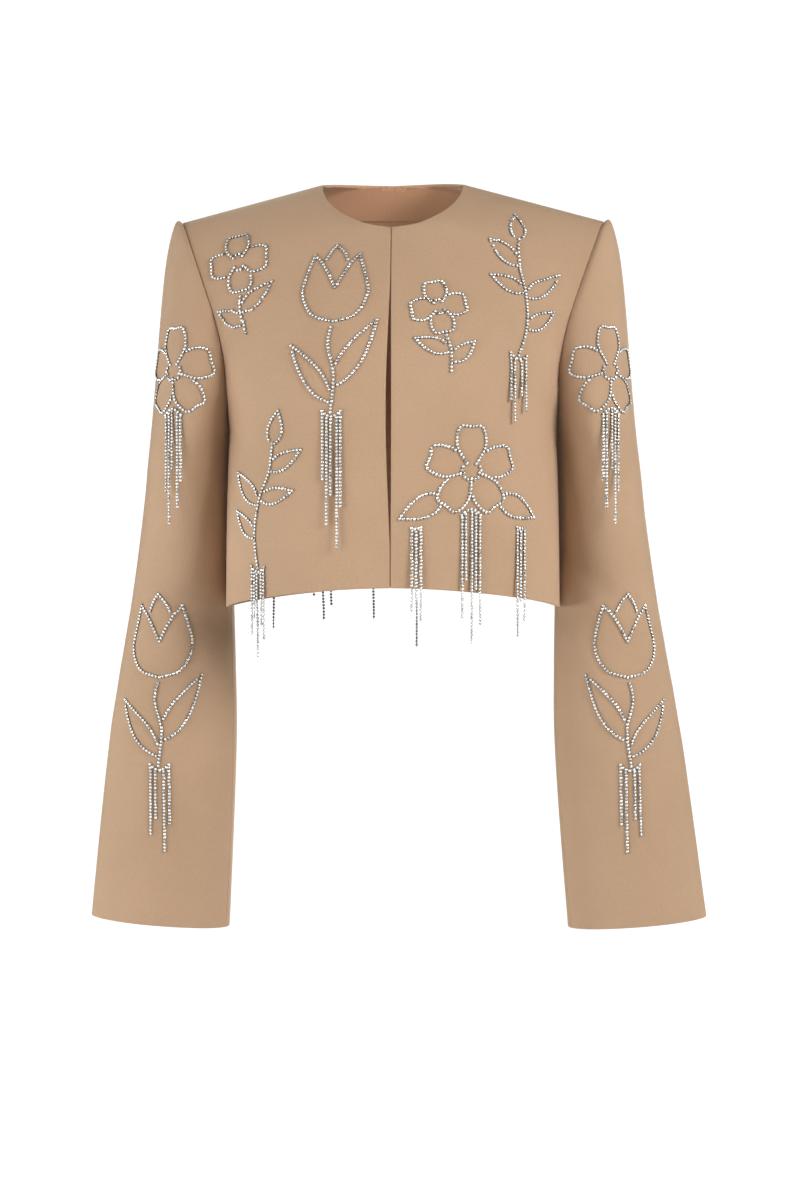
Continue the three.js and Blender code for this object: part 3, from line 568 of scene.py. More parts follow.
def cloth_piece(name, made, material):
    """A Blender object of cloth, with its layers sewn together at the edges."""
    points, faces, cloth = made
    mesh = bpy.data.meshes.new(name)
    mesh.from_pydata((points * MM).tolist(), [], faces.tolist())
    corners = np.empty(len(mesh.loops), int)
    mesh.loops.foreach_get("vertex_index", corners)
    mesh.uv_layers.new(name="cloth").data.foreach_set("uv", cloth[corners].ravel())
    work = bmesh.new()
    work.from_mesh(mesh)
    bmesh.ops.remove_doubles(work, verts=work.verts, dist=1e-5)
    bmesh.ops.recalc_face_normals(work, faces=work.faces)
    for face in work.faces:
        face.smooth = True
    area = sum(face.calc_area() for face in work.faces) / 2
    open_edges = sum(len(edge.link_faces) != 2 for edge in work.edges)
    work.to_mesh(mesh)
    work.free()
    mesh.materials.append(material)
    piece = placed(name, mesh)
    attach(piece, "root")
    print(f"{name}: {len(mesh.polygons)} faces, {area:.4f} square metres, {open_edges} open edges")
    return piece


# %% [markdown]
# ## The camel cloth
#
# The real cloth is a heavy, matt crepe with a very fine diagonal rib. Its colour comes from a
# slow mottling and a fine heather of threads, and its surface from a bump of ribs half a
# millimetre apart. Cloth coordinates in metres run over every piece, so the rib has its true
# size and follows the grain of each piece, as it would after cutting.

# %% Cloth materials
def new_material(name, roughness, **sockets):
    material = bpy.data.materials.new(name)
    material.use_nodes = True
    shader = material.node_tree.nodes["Principled BSDF"]
    shader.inputs["Roughness"].default_value = roughness
    for socket, value in sockets.items():
        shader.inputs[socket.replace("_", " ")].default_value = value
    return material, shader


def add_node(material, kind, inputs=(), **settings):
    """A node with its settings, and its inputs as values or as other nodes' outputs."""
    node = material.node_tree.nodes.new(kind)
    for setting, value in settings.items():
        setattr(node, setting, value)
    for socket, value in dict(inputs).items():
        if isinstance(value, bpy.types.NodeSocket):
            material.node_tree.links.new(value, node.inputs[socket])
        else:
            node.inputs[socket].default_value = value
    return node


def linear(colour):
    """A colour of 0 to 255 as Blender's linear one."""
    share = [c / 255 for c in colour]
    return [c / 12.92 if c <= 0.04045 else ((c + 0.055) / 1.055) ** 2.4 for c in share] + [1.0]


def ramp(material, share, low, high, low_at=0.0, high_at=1.0):
    """A colour that goes from one to another as a value rises."""
    node = add_node(material, "ShaderNodeValToRGB", {"Fac": share})
    for element, colour, position in zip(node.color_ramp.elements, (low, high), (low_at, high_at)):
        element.color, element.position = colour, position
    return node.outputs["Color"]


SHEEN_TINT = (1.0, 0.84, 0.66, 1)  # fibres that catch the light are warm, and not white


def woven(name, light, dark, rib=0.0006, rib_height=0.00008, roughness=0.86, sheen=0.35, specular=0.2):
    material, shader = new_material(
        name, roughness, Sheen_Weight=sheen, Sheen_Roughness=0.45, Sheen_Tint=SHEEN_TINT,
        Specular_IOR_Level=specular,
    )
    cloth = add_node(material, "ShaderNodeUVMap", uv_map="cloth").outputs["UV"]
    where = add_node(material, "ShaderNodeTexCoord").outputs["Object"]
    ribs = add_node(
        material, "ShaderNodeTexWave",
        {"Vector": cloth, "Scale": 0.44 / rib, "Distortion": 1.2, "Detail": 1.0, "Detail Scale": 1.5},
        wave_type="BANDS", bands_direction="DIAGONAL",
    )
    threads = add_node(material, "ShaderNodeTexNoise", {"Vector": cloth, "Scale": 1500.0, "Detail": 2.0})
    heather = add_node(material, "ShaderNodeTexNoise", {"Vector": cloth, "Scale": 420.0, "Detail": 3.0})
    mottling = add_node(material, "ShaderNodeTexNoise", {"Vector": where, "Scale": 14.0, "Detail": 3.0})
    shade = add_node(
        material, "ShaderNodeMath", {0: heather.outputs["Fac"], 1: mottling.outputs["Fac"]}, operation="ADD"
    )
    share = add_node(
        material, "ShaderNodeMapRange",
        {"Value": shade.outputs[0], "From Min": 0.6, "From Max": 1.4},
    )
    colour = ramp(material, share.outputs["Result"], linear(light), linear(dark))
    weave = add_node(
        material, "ShaderNodeMath", {0: ribs.outputs["Fac"], 1: threads.outputs["Fac"]}, operation="ADD"
    )
    bump = add_node(
        material, "ShaderNodeBump",
        {"Height": weave.outputs[0], "Strength": 0.35, "Distance": rib_height},
    )
    material.node_tree.links.new(colour, shader.inputs["Base Color"])
    material.node_tree.links.new(bump.outputs["Normal"], shader.inputs["Normal"])
    return material


camel_cloth = woven("camel_cloth", (190, 157, 128), (179, 147, 118))
# painted shade: the facing is the jacket's own cloth, made a little darker and browner here for the shade inside
# the neck
facing_cloth = woven("neck_facing", (190, 146, 114), (181, 137, 106))
lining_cloth = woven(
    "lining", (180, 139, 106), (170, 129, 97), rib=0.0004, roughness=0.5, sheen=0.1, specular=0.4
)
print("cloths", camel_cloth.name, facing_cloth.name, lining_cloth.name)

# %% [markdown]
# ## The body: two fronts and a back
#
# Each front is one cut piece, and so is the back, without a seam down its middle. The back is
# laid out as two halves that are sewn together at the middle line, below the neck only.

# %% Fronts and back
BODY_LINES = {"count": 52, "millimetres": 200}
BODY_ROWS = {"count": 84, "millimetres": 430}
body_us = grid_lines(0, 1, **BODY_LINES)
SIDES = ("left", "right")
ALL_EDGES = ("first", "last", "low", "high")


def on_side(made, side, is_sleeve=False):
    """A left-hand piece as it is worn on one side."""
    made = mirrored(made) if side == "right" else made
    return [swung(made[0]), *made[1:]] if is_sleeve else made


def sewn_back(*how, **more):
    """A piece of the back as two halves, sewn together at the middle."""
    left, right = (layers(PANELS[f"back_{side}"], *how, **more) for side in SIDES)
    return together(left, mirrored(right))


for side in SIDES:
    rows = grid_lines(0, 1, **BODY_ROWS, knots=(UNDERARM_V, FRONT_NECK_V))
    made = layers(PANELS[f"front_{side}"], body_us, rows, 0, CLOTH, ALL_EDGES, ("last", "high"))
    cloth_piece(f"front_{side}_cloth", on_side(made, side), camel_cloth)
back_rows = grid_lines(0, 1, **BODY_ROWS, knots=(UNDERARM_V, BACK_NECK_V))
made = sewn_back(body_us, back_rows, 0, CLOTH, ALL_EDGES, ("last", "high"), open_until=BACK_NECK_V)
cloth_piece("back_cloth", made, camel_cloth)

# %% [markdown]
# ## The sleeves
#
# Each sleeve is a top piece and a narrower one under the arm. Their two seams run down the
# inner front and the inner back, where they hardly show.

# %% Sleeves
SLEEVE_SEAM_GAP = 0.34  # degrees, which is 0.3 mm on the sleeve
SLEEVE_ROWS = {"count": 120, "millimetres": 640}
MM_PER_DEGREE = 0.95
SLEEVE_PIECES = {
    "top_sleeve": (SLEEVE_SEAM["back"] - 360, SLEEVE_SEAM["front"], 72),
    "under_sleeve": (SLEEVE_SEAM["front"], SLEEVE_SEAM["back"], 22),
}
for side in SIDES:
    for piece, (start, end, count) in SLEEVE_PIECES.items():
        around = start + SLEEVE_SEAM_GAP / 2 + grid_lines(0, end - start - SLEEVE_SEAM_GAP, count, MM_PER_DEGREE)
        down = grid_lines(0, 1, **SLEEVE_ROWS, knots=(CAP_SHARE,))
        made = layers(PANELS[f"sleeve_{side}"], around, down, 0, CLOTH, ALL_EDGES, ("first", "last", "low"))
        name = f"{piece}_{side}"
        cloth_piece(f"{name}_cloth", on_side(made, side, is_sleeve=True), camel_cloth)

# %% [markdown]
# ## The facing inside the back neck
#
# Inside the neck, the real jacket has a facing of its own cloth, with a straight lower edge.
# It lies just inside the back and follows it, so its points are the back's own, moved inwards.

# %% Back neck facing
FACING = {
    "depth": 2.7, "thickness": 0.9, "low_z": -9, "half_width": 84, "straight_to": 36,
    "under_seam": 4, "last_v": 0.99, "tuck": 0.95, "tuck_share": 0.25,
}


def facing_place(s, down):
    """The place on the back behind a point of the facing, from the middle to the shoulder."""
    x = FACING["half_width"] * s
    rise = clamp01((x - FACING["straight_to"]) / (FACING["half_width"] - FACING["straight_to"]))
    seam_z = float(BACK_NECKLINE["z"][-1]) - FACING["under_seam"]
    low_u, low_v = PANELS["back_left"].place_at(x, mix(FACING["low_z"], seam_z, rise**2), 0.1, 0.8)
    return low_u * down, mix(mix(BACK_NECK_V, FACING["last_v"], s), low_v, down)


def facing_tuck(s, down):
    """Outwards at the top edge, so that the facing meets the rolled neckline."""
    return -FACING["tuck"] * (1 - eased(down / FACING["tuck_share"]))


facing_us, facing_vs = grid_lines(0, 1, 40, 100), grid_lines(0, 1, 14, 32)
facing_us = facing_us[(facing_us == 0) | (facing_us > 0.02)]  # no rolled edge at the middle
made = sewn_back(
    facing_us, facing_vs, FACING["depth"], FACING["depth"] + FACING["thickness"],
    ("last", "low", "high"), (), bulge=facing_tuck, place=facing_place,
)
cloth_piece("back_neck_facing_cloth", made, facing_cloth)

# %% [markdown]
# ## The lining
#
# The lining starts where the hems and the front facings end. It is thin, smooth and a shade
# browner, and it is cut with a little ease, so it stands off the cloth in shallow waves, which
# fade out just above the body's hem. One lining goes up each sleeve as a tube.

# %% Lining of the body and the sleeves
LINING = {"depth": 2.15, "thickness": 0.3, "ease": 0.5, "wave": 0.3, "top_of_hem": 0.05}
LINING_PLACE = {"front_u": 0.3, "neck_u": 0.05, "side_u": 0.998, "hem_v": 0.075, "top_v": 0.995}
LINING_NECK_V = BACK_NECK_V - 0.02
SLEEVE_LINING_ENDS = (0.03, 0.952)


def lining_waves(u, v):
    wave = 0.5 + 0.5 * np.sin(u * 24 + 2 * np.sin(v * 9))
    return LINING["ease"] * wave * eased(v / LINING["top_of_hem"]) * LINING["wave"]


def sleeve_lining_waves(around, v):
    return LINING["ease"] * (0.5 + 0.5 * np.sin(np.radians(around) * 7 + 6 * v)) * LINING["wave"]


def lining_v(v):
    return mix(LINING_PLACE["hem_v"], LINING_PLACE["top_v"], v)


def front_lining_place(u, v):
    return mix(LINING_PLACE["front_u"], LINING_PLACE["side_u"], u), lining_v(v)


def back_lining_place(u, v):
    v = lining_v(v)
    return mix(np.where(v > LINING_NECK_V, LINING_PLACE["neck_u"], 0.0), LINING_PLACE["side_u"], u), v


near, far = LINING["depth"], LINING["depth"] + LINING["thickness"]
lining_us, lining_vs = grid_lines(0, 1, 60, 200), grid_lines(0, 1, 88, 400)
for side in SIDES:
    made = layers(
        PANELS[f"front_{side}"], lining_us, lining_vs, near, far,
        ALL_EDGES, (), bulge=lining_waves, place=front_lining_place,
    )
    cloth_piece(f"front_{side}_lining", on_side(made, side), lining_cloth)
open_until = (LINING_NECK_V - LINING_PLACE["hem_v"]) / (LINING_PLACE["top_v"] - LINING_PLACE["hem_v"])
made = sewn_back(
    lining_us, lining_vs, near, far,
    ALL_EDGES, (), open_until=open_until, bulge=lining_waves, place=back_lining_place,
)
cloth_piece("back_lining", made, lining_cloth)
for side in SIDES:
    made = layers(
        PANELS[f"sleeve_{side}"], np.linspace(-120, 240, 121), grid_lines(*SLEEVE_LINING_ENDS, **SLEEVE_ROWS),
        near, far, ("low", "high"), (), bulge=sleeve_lining_waves,
    )
    made = on_side(made, side, is_sleeve=True)
    cloth_piece(f"sleeve_{side}_lining", made, lining_cloth)

# %% [markdown]
# ## One crystal in its cup
#
# Crystal chain is a row of round cut stones, each one held in a small metal cup by four claws
# and joined to the next by a short link. A cut stone is bright because its facets mirror the
# room in many directions. Modelling facets, and not painting dots, gives that sparkle in any
# light and from any side. Each facet also gets a random colour from near black to near white,
# which is painted reflection: painted glints and painted dark mirror images of the room.

# %% The crystal as a small template
STONE = {"radius": 1.32, "table": 0.85, "crown": 0.62, "sides": 8}
CUP = {"low_radius": 1.0, "radius": 1.46, "height": 1.1}
CLAW = {"width": 0.4, "out": 1.55, "in": 1.1, "rise": 0.36, "below": 0.25, "lean": 0.12}
LINK = {"width": 0.55, "low": 0.3, "high": 0.7, "from": 1.2, "to": 2.15}
PITCH = 3.3


def ring(radius, height, turn=0.0, sides=STONE["sides"]):
    angles = (np.arange(sides) + turn) * 2 * np.pi / sides
    return np.stack([radius * np.cos(angles), radius * np.sin(angles), np.full(sides, height)], axis=1)


def crystal_template():
    """Points and faces of one crystal, along x and facing z, and which faces are stone."""
    n = STONE["sides"]
    levels = (CUP["low_radius"], 0), (CUP["radius"], CUP["height"]), (STONE["radius"], CUP["height"])
    points = [ring(radius, height) for radius, height in levels]
    points.append(ring(STONE["table"], CUP["height"] + STONE["crown"], 0.5))
    points.append([[0, 0, CUP["height"] + STONE["crown"]]])
    faces, is_stone = [tuple(range(n))[::-1]], [False]
    for k in range(n):
        after = (k + 1) % n
        faces += [(k, after, n + after, n + k), (n + k, n + after, 2 * n + after, 2 * n + k)]
        faces += [(2 * n + k, 2 * n + after, 3 * n + k), (2 * n + after, 3 * n + after, 3 * n + k)]
        faces += [(3 * n + k, 3 * n + after, 4 * n)]
        is_stone += [False, False, True, True, True]
    count = 4 * n + 1
    for k in range(4):
        angle = math.radians(45 + 90 * k)
        out = np.array([math.cos(angle), math.sin(angle), 0])
        side = np.array([-out[1], out[0], 0])
        foot, top = CUP["height"] - CLAW["below"], CUP["height"] + CLAW["rise"]
        claw = [
            out * CLAW["out"] + side * CLAW["width"] / 2 + [0, 0, foot],
            out * CLAW["out"] - side * CLAW["width"] / 2 + [0, 0, foot],
            out * (CLAW["out"] - CLAW["lean"]) + [0, 0, top],
            out * CLAW["in"] + [0, 0, top],
        ]
        points.append(claw)
        faces += [(count, count + 1, count + 2), (count + 1, count + 3, count + 2)]
        faces += [(count + 3, count, count + 2), (count + 1, count, count + 3)]
        is_stone += [False] * 4
        count += 4
    half = LINK["width"] / 2
    ends, heights = (LINK["from"], LINK["to"]), (LINK["low"], LINK["high"])
    points.append([(x, y, z) for x in ends for y in (-half, half) for z in heights])
    for face in ((0, 1, 5, 4), (2, 6, 7, 3), (1, 3, 7, 5), (0, 4, 6, 2)):
        faces.append(tuple(count + k for k in face))
        is_stone.append(False)
    return np.concatenate([np.array(p, float) for p in points]), faces, np.array(is_stone)


TEMPLATE, TEMPLATE_FACES, IS_STONE = crystal_template()
print("crystal", len(TEMPLATE), "points", len(TEMPLATE_FACES), "faces")

# %% [markdown]
# ## Silver and cut crystal
#
# The cups are silver metal, but their dark colour is painted shade, so that the gaps between
# the stones read dark. The stones are nearly colourless: each facet's colour is painted
# reflection, almost white as a painted glint or dark, with few greys in between.

# %% Crystal materials
cut_crystal, shader = new_material("crystal_chain", 0.16, Metallic=0.4, Coat_Weight=0.6, Coat_Roughness=0.04)
# painted reflection: each facet's base colour runs at random from near black to near white, as painted glints and
# dark reflections
facet = add_node(cut_crystal, "ShaderNodeAttribute", attribute_name="painted_facet_light")
painted_facet_colour = ramp(cut_crystal, facet.outputs["Fac"], (0.05, 0.05, 0.048, 1), (0.93, 0.94, 0.91, 1), 0.12, 0.5)
cut_crystal.node_tree.links.new(painted_facet_colour, shader.inputs["Base Color"])
cup_silver, shader = new_material("cup_silver", 0.35, Metallic=1.0)
# painted shade: the cups' dark colour, with a fine random noise, stands for the shade in the gaps between the
# stones
painted_gap_shade_noise = add_node(cup_silver, "ShaderNodeTexNoise", {"Scale": 900.0, "Detail": 2.0})
tone = ramp(cup_silver, painted_gap_shade_noise.outputs["Fac"], (0.1, 0.095, 0.085, 1), (0.34, 0.33, 0.3, 1))
cup_silver.node_tree.links.new(tone, shader.inputs["Base Color"])

# %% [markdown]
# ## Setting crystals along a line
#
# Copies of the template are turned and moved by one array sum, and not by thousands of Blender
# objects, so the whole jacket takes seconds. Real cups never lie perfectly flat: each one is
# tipped by a few degrees, and that is what makes a chain glitter as the light moves.

# %% Crystals at given places
chance = np.random.default_rng(11)
TIPPED = (0.075, 0.075, 0.05)  # how far cups tip, lean and turn, in radians
# painted reflection: how much of each stone's and each facet's painted glint is random
PAINTED_GLINT_SPREAD = {"stone": 0.55, "facet": 0.7}


def set_crystals(name, points, tangents, outs, size):
    """A Blender object of crystals at points in mm, along tangents, facing outs."""
    n = len(points)
    tangents, outs = unit(tangents), unit(outs)
    sides = unit(np.cross(outs, tangents))
    tip, lean, spin = chance.normal(0, TIPPED, (n, 3)).T[..., None]
    outs = unit(np.cross(tangents, sides) + tangents * tip + sides * lean)
    along = unit(tangents + sides * spin - outs * dot(tangents + sides * spin, outs)[:, None])
    sides = np.cross(outs, along)
    axes = np.stack([along, sides, outs], axis=1)
    spots = points[:, None] + (TEMPLATE * size) @ axes
    corners = np.array([k for face in TEMPLATE_FACES for k in face])
    lengths = np.array([len(face) for face in TEMPLATE_FACES])
    mesh = bpy.data.meshes.new(name)
    mesh.vertices.add(n * len(TEMPLATE))
    mesh.vertices.foreach_set("co", (spots * MM).astype(np.float32).ravel())
    all_corners = (corners + np.arange(n)[:, None] * len(TEMPLATE)).ravel()
    all_lengths = np.tile(lengths, n)
    mesh.loops.add(len(all_corners))
    mesh.loops.foreach_set("vertex_index", all_corners)
    mesh.polygons.add(len(all_lengths))
    mesh.polygons.foreach_set("loop_start", np.concatenate([[0], all_lengths.cumsum()[:-1]]))
    mesh.materials.append(cut_crystal)
    mesh.materials.append(cup_silver)
    mesh.polygons.foreach_set("material_index", np.tile(np.where(IS_STONE, 0, 1), n))
    mesh.update(calc_edges=True)
    painted_facet_light = mesh.attributes.new("painted_facet_light", "FLOAT", "FACE")
    # painted glints: a random value for each stone and each facet, which the crystal material turns into its base
    # colour
    painted_glints = PAINTED_GLINT_SPREAD["stone"] * chance.random((n, 1)) + PAINTED_GLINT_SPREAD["facet"] * chance.random((n, len(lengths)))
    painted_facet_light.data.foreach_set("value", painted_glints.astype(np.float32).ravel())
    mesh.validate()
    piece = placed(name, mesh)
    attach(piece, "root")
    return piece


# %% [markdown]
# ## Drawing on the cloth
#
# A flower is drawn flat, in millimetres from its middle. To lay the drawing on the jacket, each
# point of it is walked over the cloth, first sideways and then up, so lengths stay true on the
# curved shoulder too. A plain projection from the front would stretch the drawing at the sides.

# %% From a drawing to the cloth
WALK_STEP = 6.0
CHAIN_LIFT = 0.1


def curve_through(points, per_span=30):
    """A smooth curve through drawn points."""
    points = np.array(points, float)
    padded = np.concatenate([points[:1], points, points[-1:]])
    t = np.linspace(0, 1, per_span, endpoint=False)[:, None]
    spans = []
    for p0, p1, p2, p3 in zip(padded, padded[1:], padded[2:], padded[3:]):
        v0, v1 = (p2 - p0) / 2, (p3 - p1) / 2
        cubic, square = 2 * p1 - 2 * p2 + v0 + v1, -3 * p1 + 3 * p2 - 2 * v0 - v1
        spans.append(cubic * t**3 + square * t**2 + v0 * t + p1)
    return np.concatenate([*spans, points[-1:]])


def at_lengths(curve, lengths):
    walked = np.concatenate([[0], np.linalg.norm(np.diff(curve, axis=0), axis=1).cumsum()])
    return np.stack([np.interp(lengths, walked, curve[:, k]) for k in range(curve.shape[1])], axis=1)


def length_of(curve):
    return np.linalg.norm(np.diff(curve, axis=0), axis=1).sum()


def walked(panel, start, drawn):
    """The places on a panel of drawn points, from the place of the drawing's middle."""
    u, v = np.full(len(drawn), start[0]), np.full(len(drawn), start[1])
    down = np.array([0.0, 0, -1])
    for k in (0, 1):
        steps = max(1, math.ceil(np.abs(drawn[:, k]).max() / WALK_STEP))
        for _ in range(steps):
            normal = panel.normal(u, v)
            direction = unit(np.cross(normal, np.broadcast_to(down, normal.shape)))
            if k == 1:
                direction = -np.cross(direction, normal)
            u, v = panel.stepped(u, v, direction * (drawn[:, k] / steps)[:, None])
    return u, v


def on_panel(motif, drawn):
    angle = math.radians(motif["turn"])
    turn = np.array([[math.cos(angle), math.sin(angle)], [-math.sin(angle), math.cos(angle)]])
    return walked(PANELS[motif["on"]], motif["at"], np.array(drawn, float) * motif["scale"] @ turn)


def worn(panel, points, vectors):
    """Points and vectors of a panel's left-hand drawing, moved to where it is worn."""
    flip = [panel.mirror, 1, 1]
    points = points * flip
    return (swung(points) if panel.is_sleeve else points), [v * flip for v in vectors]


# %% [markdown]
# ## The flowers
#
# The drawings are plain ones: a tulip, a spray of leaves, a five-petalled blossom and a bud.
# A chain can't cross itself flat, so where two lines meet, the second one stops short.

# %% Drawings
def polar(radius, degrees):
    return (radius * math.cos(math.radians(degrees)), radius * math.sin(math.radians(degrees)))


def leaf(start, end, width):
    """The two sides of a leaf from one tip to the other."""
    (x0, y0), (dx, dy) = start, (end[0] - start[0], end[1] - start[1])
    length = math.hypot(dx, dy)
    sides = []
    for sign in (1, -1):
        off = [(t, sign * width * math.sin(math.pi * t**0.8) / 2 / length) for t in (0, 0.2, 0.45, 0.75, 1)]
        sides.append([(x0 + dx * t - dy * o, y0 + dy * t + dx * o) for t, o in off])
    return sides


def rounded_flower(petals, radius, heart):
    half, lines = 180 / petals, []
    shape = ((0.85 * heart, 1), (0.62 * radius, 0.85), (0.95 * radius, 0.42))
    for k in range(petals):
        at = 90 + 360 * k / petals
        rising = [polar(r, at - share * half) for r, share in shape]
        falling = [polar(r, at + share * half) for r, share in shape][::-1]
        lines.append([*rising, polar(0.93 * radius, at), *falling])
    round_heart = [polar(heart, degrees) for degrees in (0, 45, 90, 135, 180)]
    return [*lines, round_heart, [(x, -y) for x, y in round_heart]]


TULIP = [
    [(0, 0), (-20, 7), (-31, 28), (-27, 52), (-22, 68)],
    [(-22, 68), (-12, 56), (0, 34)],
    [(0, 0), (20, 7), (31, 28), (27, 52), (22, 68)],
    [(22, 68), (12, 56), (0, 34)],
    [(-13, 57), (-7, 70), (0, 79)],
    [(13, 57), (7, 70), (0, 79)],
    [(0, 1), (4, -22), (-2, -50), (1, -84)],
    *leaf((0, -62), (-40, 2), 19),
    *leaf((0, -76), (38, -22), 17),
]
SPRAY = [
    [(0, -70), (6, -35), (2, 0), (-8, 32), (-10, 58)],
    *leaf((-10, 56), (-14, 92), 17),
    *leaf((-7, 30), (-42, 54), 16),
    *leaf((2, 0), (-36, 12), 16),
    *leaf((3, -6), (38, 26), 17),
    *leaf((5, -40), (36, -14), 15),
]
BLOSSOM = rounded_flower(5, 43, 9)
BLOSSOM_WITH_LEAVES = [*BLOSSOM, *leaf((-25, -24), (-66, -44), 20), *leaf((25, -24), (66, -42), 20)]
BUD = [
    *rounded_flower(4, 27, 7),
    [(0, -22), (2.5, -42), (-1, -62)],
    *leaf((2.5, -44), (-27, -26), 14),
    *leaf((1, -54), (25, -38), 13),
]
UNDER_BLOSSOM = [(-9, -41), (-5, -37.5), (0, -35.5), (5, -37.5), (9, -41)]
UNDER_LEFT_LEAF = [(-55, -52.5), (-51, -53.5), (-46.5, -52)]
UNDER_RIGHT_LEAF = [(46.5, -51.5), (51, -53), (55, -52.5)]


def under_stem(end_y):
    return [(x, end_y + y) for x, y in ((-8.5, 1.5), (-5, -2), (0, -4), (5, -2), (8.5, 1.5))]


def seen_at(panel, x, z):
    u, v = PANELS[panel].place_at(np.array([float(x)]), np.array([float(z)]))
    return float(u[0]), float(v[0])


def drawn_on(panel, name, at, lines, *strands, turn=0, scale=1):
    """A motif at an x and z on the body, or at degrees and a height on a sleeve.

    Each group of strands has the bar that it hangs from, and the length of each strand.
    """
    at = at if panel.startswith("sleeve") else seen_at(panel, *at)
    return {"name": name, "on": panel, "at": at, "lines": lines, "strands": strands, "turn": turn, "scale": scale}


MOTIFS = [
    drawn_on("front_right", "tulip_on_right_front", (52, -126), TULIP, (under_stem(-84), [86, 122, 70, 98, 60])),
    drawn_on(
        "front_right", "spray_on_right_front", (119, -288), SPRAY,
        (under_stem(-70), [66, 50, 76, 44, 60]), turn=5, scale=0.9,
    ),
    drawn_on("front_right", "bud_on_right_shoulder", (142, -66), BUD, turn=-12, scale=1.1),
    drawn_on("front_left", "bud_on_left_front", (44, -112), BUD, turn=10),
    drawn_on(
        "front_left", "blossom_on_left_front", (74, -262), BLOSSOM_WITH_LEAVES,
        (UNDER_LEFT_LEAF, [74, 106, 84]), (UNDER_BLOSSOM, [92, 62, 120, 70, 98]),
        (UNDER_RIGHT_LEAF, [98, 64, 84]),
    ),
    drawn_on(
        "front_left", "spray_on_left_front", (122, -96), SPRAY,
        (under_stem(-70), [44, 58, 34, 48]), turn=-10, scale=0.9,
    ),
]
for side in SIDES:
    sleeve, on_blossom, on_tulip = f"sleeve_{side}", (UNDER_BLOSSOM, [62, 90, 56, 104, 70]), [54, 76, 46, 64]
    MOTIFS.append(drawn_on(sleeve, f"blossom_on_{side}_sleeve", (60, 0.25), BLOSSOM, on_blossom))
    MOTIFS.append(drawn_on(sleeve, f"tulip_on_{side}_sleeve", (78, 0.687), TULIP, (under_stem(-84), on_tulip)))
MOTIFS += [
    drawn_on(
        "back_right", "blossom_on_back", (72, -226), BLOSSOM_WITH_LEAVES,
        (UNDER_LEFT_LEAF, [90, 126, 80]), (UNDER_BLOSSOM, [108, 84, 136, 94, 118]),
        (UNDER_RIGHT_LEAF, [84, 116, 74]),
    ),
    drawn_on("back_left", "spray_on_back", (98, -112), SPRAY, (under_stem(-70), [70, 98, 56, 84]), turn=10),
]
print("motifs", len(MOTIFS), "with", sum(len(motif["strands"]) for motif in MOTIFS), "groups of strands")

# %% [markdown]
# ## Laying the lines
#
# Crystals sit one pitch apart along a line. A crystal that would land on one that is already
# there is left out, which closes the lines neatly where petals and leaves meet. One that has
# lost both of its neighbours would be loose, so it is left out too, and so are the few at the end
# of a long line that would stick out past a crossing.

# %% Lines of crystals
CLOSEST = 2.7
SPUR = {"shorter_than": 5, "on_lines_over": 11}  # in crystals
BAR_SIZE = 1.04


def lines_of_crystals(motif, lines, size=1.0):
    """Points, tangents and outs of the crystals on some drawn lines."""
    panel = PANELS[motif["on"]]
    drawn = []
    for line in lines:
        curve = curve_through(line)
        count = max(2, round(length_of(curve) * motif["scale"] / (PITCH * size)))
        drawn.append(at_lengths(curve, np.linspace(0, length_of(curve), count + 1)))
    ends = np.cumsum([len(part) for part in drawn])[:-1]
    u, v = on_panel(motif, np.concatenate(drawn))
    outs = panel.normal(u, v, panel.soft)
    points = panel.point(u, v) + outs * CHAIN_LIFT
    tangents = np.concatenate([np.gradient(part, axis=0) for part in np.split(points, ends)])
    keep = np.full(len(points), True)
    for start, end in zip([0, *ends], [*ends, len(points)]):
        for k in range(start, end):
            earlier = points[:start][keep[:start]]
            keep[k] = not len(earlier) or np.linalg.norm(earlier - points[k], axis=1).min() > CLOSEST
        kept = np.concatenate([[False], keep[start:end], [False]])
        keep[start:end] &= kept[:-2] | kept[2:]
        crossings = np.flatnonzero(~keep[start:end])
        if len(crossings) and end - start > SPUR["on_lines_over"]:
            if crossings[0] < SPUR["shorter_than"]:
                keep[start : start + crossings[0]] = False
            if end - start - 1 - crossings[-1] < SPUR["shorter_than"]:
                keep[start + crossings[-1] : end] = False
    return points[keep], tangents[keep], outs[keep]


crystals = {}
total = 0
for motif in MOTIFS:
    points, tangents, outs = lines_of_crystals(motif, motif["lines"])
    points, (tangents, outs) = worn(PANELS[motif["on"]], points, (tangents, outs))
    crystals[motif["name"]] = set_crystals(f"{motif['name']}_crystals", points, tangents, outs, 1.0)
    total += len(points)
print("crystals on the flowers", total)

# %% [markdown]
# ## Strands that hang
#
# Each group of strands hangs from a short bar of larger crystals. A strand lies on the cloth,
# straight down its slope, until the cloth falls away from under it, and from there it hangs
# free. Below the hem nothing holds a strand flat, so it turns a little on itself.

# %% Hanging strands
STRAND_LIFT = 0.2
STRAND_SIZE = 0.94
STRAND_PITCH = PITCH * STRAND_SIZE
BELOW_BAR = 2.6
CLOTH_ENDS = (0.002, 0.998)  # where the cloth falls away from under a strand
TURNS_OVER = 12  # crystals that a free strand takes to turn
TURNING, BAR_RIM, UNEVEN = 0.9, 0.03, 0.03


